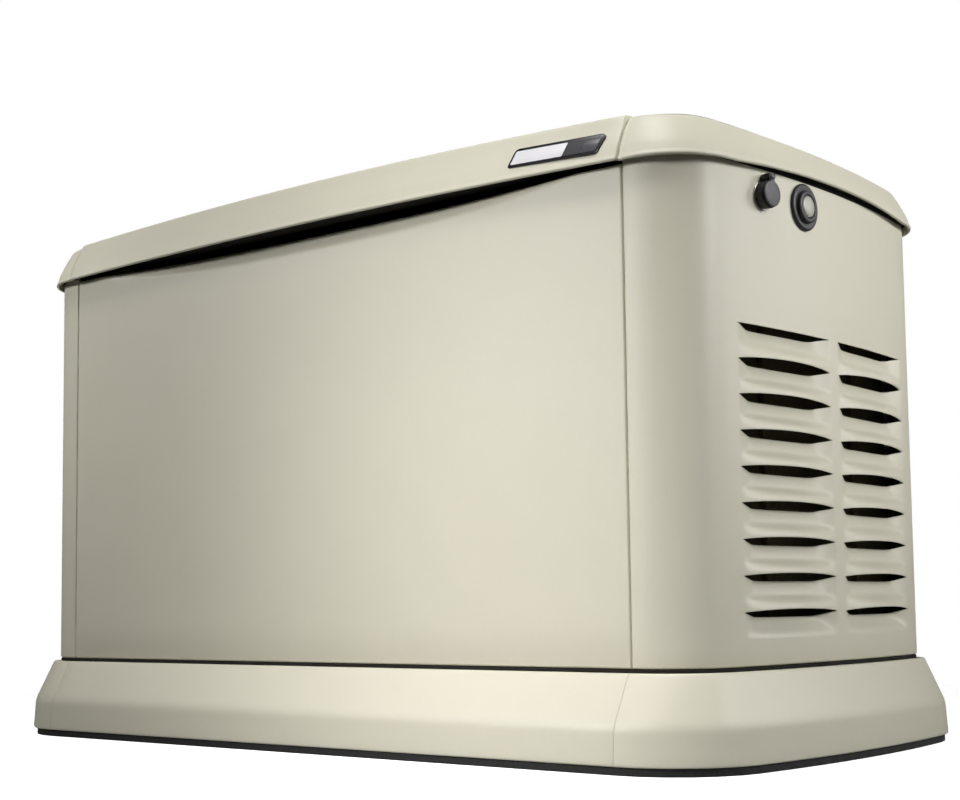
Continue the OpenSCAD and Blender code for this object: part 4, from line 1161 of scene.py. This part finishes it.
# ---- Fuel hose and battery cables: the same points as in the part's source ----
hose_route = [
    (120, 230, 315), (120, 230, 322), (120, 230, 330), (119, 229, 350), (110, 222, 385), (85, 190, 425),
    (45, 130, 455), (-10, 60, 470), (-66, 14, 471), (-100, 0, 470), (-114, 0, 470), (-121, 0, 470),
    (-129, 0, 470)]
positive_route = [
    (490, -95, 283), (490, -95, 291), (490, -95, 300), (489, -84, 326), (480, -48, 332), (462, 0, 290),
    (430, 60, 220), (385, 130, 172), (336, 192, 152), (286, 215, 150), (210, 206, 134), (120, 195, 122),
    (40, 200, 128), (-40, 220, 142), (-115, 244, 168), (-142, 246, 196), (-150, 230, 211), (-150, 218, 212),
    (-150, 206, 212)]
negative_route = [
    (342, -95, 283), (342, -95, 291), (342, -95, 300), (343, -84, 324), (350, -48, 324), (358, 10, 240),
    (350, 90, 178), (324, 160, 154), (286, 190, 150), (262, 190, 141), (244, 182, 122), (236, 168, 114),
    (236, 156, 114), (236, 148, 114), (236, 140, 114)]


def braided_hose():
    """A hose with fine turns of raised braid."""
    points = curve(hose_route, 12)
    shape = Shape().add(sweep(points, 11.7, 28))
    for turn in (0, math.pi):
        wire, side = [], Vector((1, 0, 0))
        for i, p in enumerate(points[2:-2]):
            t = (points[i + 3] - points[i + 1]).normalized()
            side = (side - t * side.dot(t)).normalized()
            a = turn + i * 0.42
            wire.append(p + 11.9 * (math.cos(a) * side + math.sin(a) * t.cross(side)))
        shape.add(sweep(wire, 0.6, 6))
    return shape


piece("fuel_hose_skin", braided_hose(), [rubber_mat], "root", ["fuel_hose"])


def battery_cables():
    """Each cable with the boot over its clamp."""
    boot = [(-3, 9.2), (-3, 14.5), (-2, 15.5), (6, 15.5), (8, 14), (9, 10), (12, 5.8), (12, 5.2), (-3, 5.2)]
    shape = Shape()
    for mat, route in ((0, positive_route), (1, negative_route)):
        shape.add(sweep(curve(route, 8), 5.5, 20), mat)
        clamp = Vector(route[0]) - Vector((0, 0, 10))
        shape.add(turned(boot, 32), mat, facing(clamp, (0, 0, 1)))
    return shape


piece("battery_cables_skin", battery_cables(), [red_cable, black_cable], "root", ["battery_cables"])


def battery_top():
    """Vent caps, a ribbed case and rope handles."""
    low, high = box_mm("battery")
    centre_x = (low.x + high.x) / 2
    case_top = high.z - 14
    cap = [(-0.5, 0.4), (-0.5, 9.5), (2.4, 9.5), (3.2, 8.6), (3.2, 1.6), (2.2, 1.4), (2.2, 0.4)]
    # A handle's (distance out of the end, y, height over the case).
    rope = [(1, -215, -8), (5, -205, -2), (-8, -190, 3), (-12, -150, 3.5), (-8, -115, 3), (5, -102, -2),
            (1, -92, -8)]
    shape = Shape()
    for x in [centre_x + dx for dx in (-71, -46, -23, 24, 47, 71)]:
        shape.add(turned(cap, 28), 1, upward(x, -170, case_top))
        shape.add(block((x - 6, -170.9, case_top + 2.4), (x + 6, -169.1, case_top + 3.9), 0.5, 1), 1)
    for x in steps(low.x + 12, high.x - 12, 12):
        if abs(x - centre_x) > 14:
            rib_low = (x - 2, low.y - 1.4, low.z + 26)
            shape.add(block(rib_low, (x + 2, low.y + 1, case_top - 34), 1, 1))
    for s, x in ((-1, low.x), (1, high.x)):
        route = [(x + s * out, y, case_top + up) for out, y, up in rope]
        shape.add(sweep(curve(route, 5), 2.6, 10), 1)
    return shape


piece("battery_fittings", battery_top(), [battery_mat, yellow_mat], "root")


# ---- Exhaust details ----
muffler_r = 75.0
muffler_x = box_mm("muffler")[1].x - muffler_r
muffler_z = 290.0


def muffler_bands():
    """Rolled end seams, two straps with their clamps, and the flanges at the heads."""
    seam = [(-3, 73), (-3, 76), (-1.6, 77.6), (1.6, 77.6), (3, 76), (3, 73)]
    strap = [(-9, 74.6), (-9, 76.2), (-8, 76.8), (8, 76.8), (9, 76.2), (9, 74.6)]
    flange = [(-6, 18), (-6, 27), (-5, 28), (0, 28), (1, 27), (1, 18)]
    along = Matrix.Translation((muffler_x, 0, muffler_z)) @ Matrix.Rotation(math.pi / 2, 4, "Z")
    shape = Shape()
    for y in (-172, 172):
        shape.add(turned([(y + dy, r) for dy, r in seam], 96), 0, along)
    for y in (-110, 110):
        shape.add(turned([(y + dy, r) for dy, r in strap], 96), 0, along)
        clamp_low = (muffler_x - 4, y - 8, muffler_z + muffler_r - 1)
        shape.add(block(clamp_low, (muffler_x + 4, y + 8, muffler_z + muffler_r + 13), 1.5, 1))
    for s in (-1, 1):
        shape.add(turned(flange, 48), 0, facing((-251, s * 148.5, 418.5), (1, 0, 0)))
    return shape


piece("exhaust_bands_and_flanges", muffler_bands(), [exhaust_mat], "root")


# ---- Control details ----
face_at = (Matrix.Translation((middle("controller").x, -52, 557))
           @ Matrix.Rotation(math.radians(30), 4, "X"))
window_at = (-30, 22)


def controller_face():
    """Display window, its frame, three lamps, a fuse holder and screws, in the face's own frame."""
    lamp = [(-0.5, 0.3), (-0.5, 4.4), (0.8, 4.4), (1.4, 3.6), (1.6, 3.0), (2.8, 2.0), (3.2, 0.3)]
    fuse = [(-1, 0.4), (-1, 9), (1.2, 9), (2, 8), (2, 6.6), (7, 6.2), (8, 5.4), (8, 0.4)]
    rim = [(97, 45, -0.2), (101, 49, 0.0), (101, 49, 0.7), (99.6, 47.6, 1.2), (97.4, 45.4, 1.2),
           (96.4, 44.4, 0.4), (96, 44, -1.9)]

    def window(l, w, r):
        return [(x + window_at[0], y + window_at[1]) for x, y in rounded_outline(l, w, r)]

    shape = Shape()
    shape.add(plate(window(93, 41, 4), -2.4, -1.2, 0.3), 0, face_at)
    shape.add(plate(window(74, 25, 2), -1.3, -0.9, 0.1), 1, face_at)
    rim_rows = [[(x, y, z) for x, y in window(l, w, 5)] for l, w, z in rim]
    shape.add(grid(rim_rows, closed=True), 2, face_at)
    for i, y in enumerate((38, 24, 10)):
        shape.add(turned(lamp, 24), 3 + i, face_at @ upward(52, y, 0))
    for x, y in ((-96, 56), (96, 56), (-96, -56), (96, -56)):
        shape.add(pan_screw(3.6, 2.0), 6, face_at @ upward(x, y, 0))
    return shape.add(turned(fuse, 32), 2, face_at @ upward(60, -36, 0))


face_materials = [black_plastic, display_mat, grey_plastic, green_key, amber_key, red_key, zinc]
piece("controller_face", controller_face(), face_materials, "root", sharp=30)


def key_marks():
    """A raised mark on each mode key: a ring, a square and a triangle, with no lettering."""
    ring = turned([(-0.3, 2.0), (-0.3, 4), (0.5, 3.8), (0.5, 2.2)], 28)
    square = block((-3.4, -3.4, -0.3), (3.4, 3.4, 0.5), 0.3, 1)
    triangle = plate([(4.2, 0), (-2.6, 3.6), (-2.6, -3.6)], -0.3, 0.5, 0.2)
    marks = {}
    for name, x, mark, turn in (("auto", -60, ring, upward(0, 0, 0)), ("off", -30, square, Matrix()),
                                ("manual", 0, triangle, Matrix())):
        marks[name] = Shape().add(mark, 0, face_at @ Matrix.Translation((x, -38, 2)) @ turn)
    return marks


for name, shape in key_marks().items():
    piece("key_mark_" + name, shape, [white_plastic], "button_" + name)


def breaker_trim():
    """Cover screws, case seams and cable terminals of the main breaker."""
    low, high = box_mm("main_breaker")
    terminal = [(-1, 0.4), (-1, 8), (4, 8), (5, 7), (5, 0.4)]
    shape = Shape()
    for x in (low.x + 9, high.x - 9):
        for z in (low.z + 9, high.z - 9):
            shape.add(pan_screw(4.2, 1.4), 1, facing((x, low.y, z), (0, -1, 0)))
    for z in (low.z + 24, high.z - 24):
        seam_low = (low.x - 0.6, low.y - 0.6, z - 1)
        shape.add(block(seam_low, (high.x + 0.6, low.y + 12, z + 1), 0.5, 1))
    for x in (low.x + 18, high.x - 18):
        for z, d in ((low.z, -1), (high.z, 1)):
            shape.add(turned(terminal, 24), 0, facing((x, 6, z), (0, 0, d)))
    return shape


piece("breaker_trim", breaker_trim(), [black_plastic, zinc], "root")


def output_leads():
    """Three leads from the alternator up to the breaker."""
    shape = Shape()
    for i, mat in ((0, 0), (1, 1), (2, 1)):
        d = 9 * i
        route = [(190, -20 + d, 398 + i), (215, -30 + d, 396), (245, -42 + d, 340), (286, -46 + d, 312),
                 (320, -30 + d, 316), (346 + d, -10, 334), (354 + 2 * d, 4, 352), (354 + 2 * d, 6, 372)]
        shape.add(sweep(curve(route, 6), 4.0, 12), mat)
    return shape


piece("output_leads", output_leads(), [red_cable, black_cable], "root")


# ---- Finishes of the CAD pieces that stay in view ----
finishes = {
    "cream_paint": cream, "pad": pad_mat, "galvanised": galvanised, "hardware": zinc, "badge": badge_black,
    "rubber": rubber_mat, "black_plastic": black_plastic, "grey_plastic": grey_plastic, "lens": lens_mat,
    "exhaust_steel": exhaust_mat, "black_paint": black_paint, "cast_aluminium": cast_mat,
    "laminations": lamination, "copper": copper_mat, "steel_machined": steel_mat, "ceramic": ceramic_mat,
    "filter_paint": filter_mat, "yellow_plastic": yellow_mat, "battery_case": battery_mat,
    "cable": black_cable, "grey_paint": grey_paint, "green_key": green_key, "red_key": red_key,
    "amber_key": amber_key, "white_plastic": white_plastic}
slot_of = {part["node"]: part["material_slot"] for part in frame["record"]["subparts"]}
thin_nodes = ("lid_seal", "hinge_pins", "alternator_rotor")


def finish_cad_node(name, obj):
    """The slot's finish, and lightly rounded edges."""
    obj.data.materials.clear()
    obj.data.materials.append(finishes[slot_of[name]])
    if name in thin_nodes:
        return
    join = obj.modifiers.new("join", "WELD")
    join.merge_threshold = 1e-5
    edges = obj.modifiers.new("edges", "BEVEL")
    edges.width, edges.segments = 0.7 * MM, 2
    edges.limit_method, edges.angle_limit = "ANGLE", math.radians(32)
    edges.harden_normals = True


for name, obj in frame["nodes"].items():
    finish_cad_node(name, obj)


# ---- Camera, floor and lights ----
def look(location, yaw, pitch, roll):
    """A camera's place: yaw round the vertical, then pitch up, then roll, in degrees."""
    y, p, c = (math.radians(a) for a in (yaw, pitch, roll))
    forward = Vector((-math.sin(y) * math.cos(p), math.cos(y) * math.cos(p), math.sin(p)))
    right = Vector((math.cos(y), math.sin(y), 0))
    up = right.cross(forward)
    right, up = right * math.cos(c) + up * math.sin(c), up * math.cos(c) - right * math.sin(c)
    return Matrix.Translation(location) @ Matrix((right, up, -forward)).transposed().to_4x4()


camera_place = (1.45975, -1.70361, 0.17874)
camera_angles = (39.7, 5.03, -0.72)
camera_data = bpy.data.cameras.new("camera")
camera_data.sensor_width = 36
camera_data.lens = 61.463
camera_data.shift_x = -0.0028
camera_data.shift_y = 0.060
camera = bpy.data.objects.new("camera", camera_data)
bpy.context.scene.collection.objects.link(camera)
bpy.context.scene.camera = camera
camera.matrix_world = look(camera_place, *camera_angles)

# ---- Floor: a pale disc that fades into the white backdrop ----
floor_radius = 1.7
fade_from = 0.75
floor_glow = 0.8
floor_tone = 0.35


def floor_material():
    """White with a soft contact shadow to the eye, and a mid grey as a source of bounced light."""
    mat = bpy.data.materials.new("floor_white")
    graph = Graph(mat)
    white = graph.nodes["Principled BSDF"]
    graph.set(white, {"Base Color": srgb(250, 250, 250), "Roughness": 0.7, "Emission Color": (1, 1, 1, 1),
                      "Emission Strength": floor_glow})
    bounce = graph.add("BsdfDiffuse", {"Color": (floor_tone, floor_tone, floor_tone, 1)})
    seen, either = graph.add("LightPath"), graph.add("MixShader")
    graph.join(seen, "Is Camera Ray", either, "Fac")
    graph.join(bounce, "BSDF", either, 1)
    graph.join(white, "BSDF", either, 2)
    place, reach = graph.add("TexCoord"), graph.add("VectorMath", operation="LENGTH")
    fade = graph.add("MapRange", {"From Min": fade_from, "From Max": floor_radius},
                     interpolation_type="SMOOTHSTEP")
    clear, edge = graph.add("BsdfTransparent"), graph.add("MixShader")
    graph.join(place, "Object", reach, 0)
    graph.join(reach, "Value", fade, "Value")
    graph.join(fade, "Result", edge, "Fac")
    graph.join(either, "Shader", edge, 1)
    graph.join(clear, "BSDF", edge, 2)
    graph.join(edge, "Shader", graph.nodes["Material Output"], "Surface")
    return mat


floor_mesh = bpy.data.meshes.new("floor")
rim = [(floor_radius * math.cos(a), floor_radius * math.sin(a), 0) for a in steps(0, 2 * math.pi, 96)[:-1]]
floor_mesh.from_pydata(rim, [], [list(range(len(rim)))])
floor_mesh.materials.append(floor_material())
floor = bpy.data.objects.new("floor", floor_mesh)
bpy.context.scene.collection.objects.link(floor)


def area_light(name, location, target, size, power, spread=180):
    """A softbox; a spread below 180 degrees gives it a grid, so that it lights a pool with soft edges."""
    data = bpy.data.lights.new(name, "AREA")
    data.shape, data.size, data.size_y = "RECTANGLE", size[0], size[1]
    data.energy, data.spread = power, math.radians(spread)
    lamp = bpy.data.objects.new(name, data)
    bpy.context.scene.collection.objects.link(lamp)
    lamp.location = location
    lamp.rotation_mode = "QUATERNION"
    lamp.rotation_quaternion = (Vector(target) - Vector(location)).to_track_quat("-Z", "Y")


area_light("overhead_strip", (0.2, -0.9, 2.6), (0.2, -0.36, 0.05), (2.2, 0.4), 4.3, 60)
area_light("overhead_pool", (0.45, -1.1, 2.4), (0.42, -0.36, 0.05), (0.9, 0.4), 0.6, 36)
area_light("front_key", (0.1, -2.6, 1.6), (0.38, -0.32, 0.25), (0.6, 0.8), 0.95, 32)
area_light("front_pool", (-1.0, -2.6, 1.3), (0.3, -0.32, 0.3), (0.3, 0.8), 0.85, 22)
area_light("left_pool", (-1.8, -2.0, 1.6), (-0.66, -0.32, 0.62), (0.4, 0.5), 1.15, 32)
area_light("right_softbox", (3.0, 0.4, 1.3), (0.6, 0, 0.5), (1.2, 1.2), 4.3)
area_light("right_pool", (2.8, 0.5, 1.5), (0.6, 0.05, 0.6), (0.6, 0.6), 1.75, 36)
area_light("rear_right_softbox", (2.2, 1.7, 1.1), (0.55, 0.15, 0.5), (0.8, 1.0), 1.85, 60)


def studio_world(strength):
    """White to the camera, and on the object a soft fill that fades towards the ground."""
    world = bpy.data.worlds.new("studio")
    bpy.context.scene.world = world
    graph = Graph(world)
    fill = graph.nodes["Background"]
    graph.set(fill, {"Strength": strength})
    place, parts = graph.add("TexCoord"), graph.add("SeparateXYZ")
    rise = graph.add("MapRange", {"From Min": -0.25, "From Max": 0.85})
    graph.join(place, "Generated", parts, "Vector")
    graph.join(parts, "Z", rise, "Value")
    graph.join(rise, "Result", fill, "Color")
    backdrop = graph.add("Background", {"Color": (1, 1, 1, 1)})
    seen, pick = graph.add("LightPath"), graph.add("MixShader")
    graph.join(seen, "Is Camera Ray", pick, "Fac")
    graph.join(fill, "Background", pick, 1)
    graph.join(backdrop, "Background", pick, 2)
    graph.join(pick, "Shader", graph.nodes["World Output"], "Surface")


studio_world(0.16)
bpy.context.scene.view_settings.view_transform = "Standard"
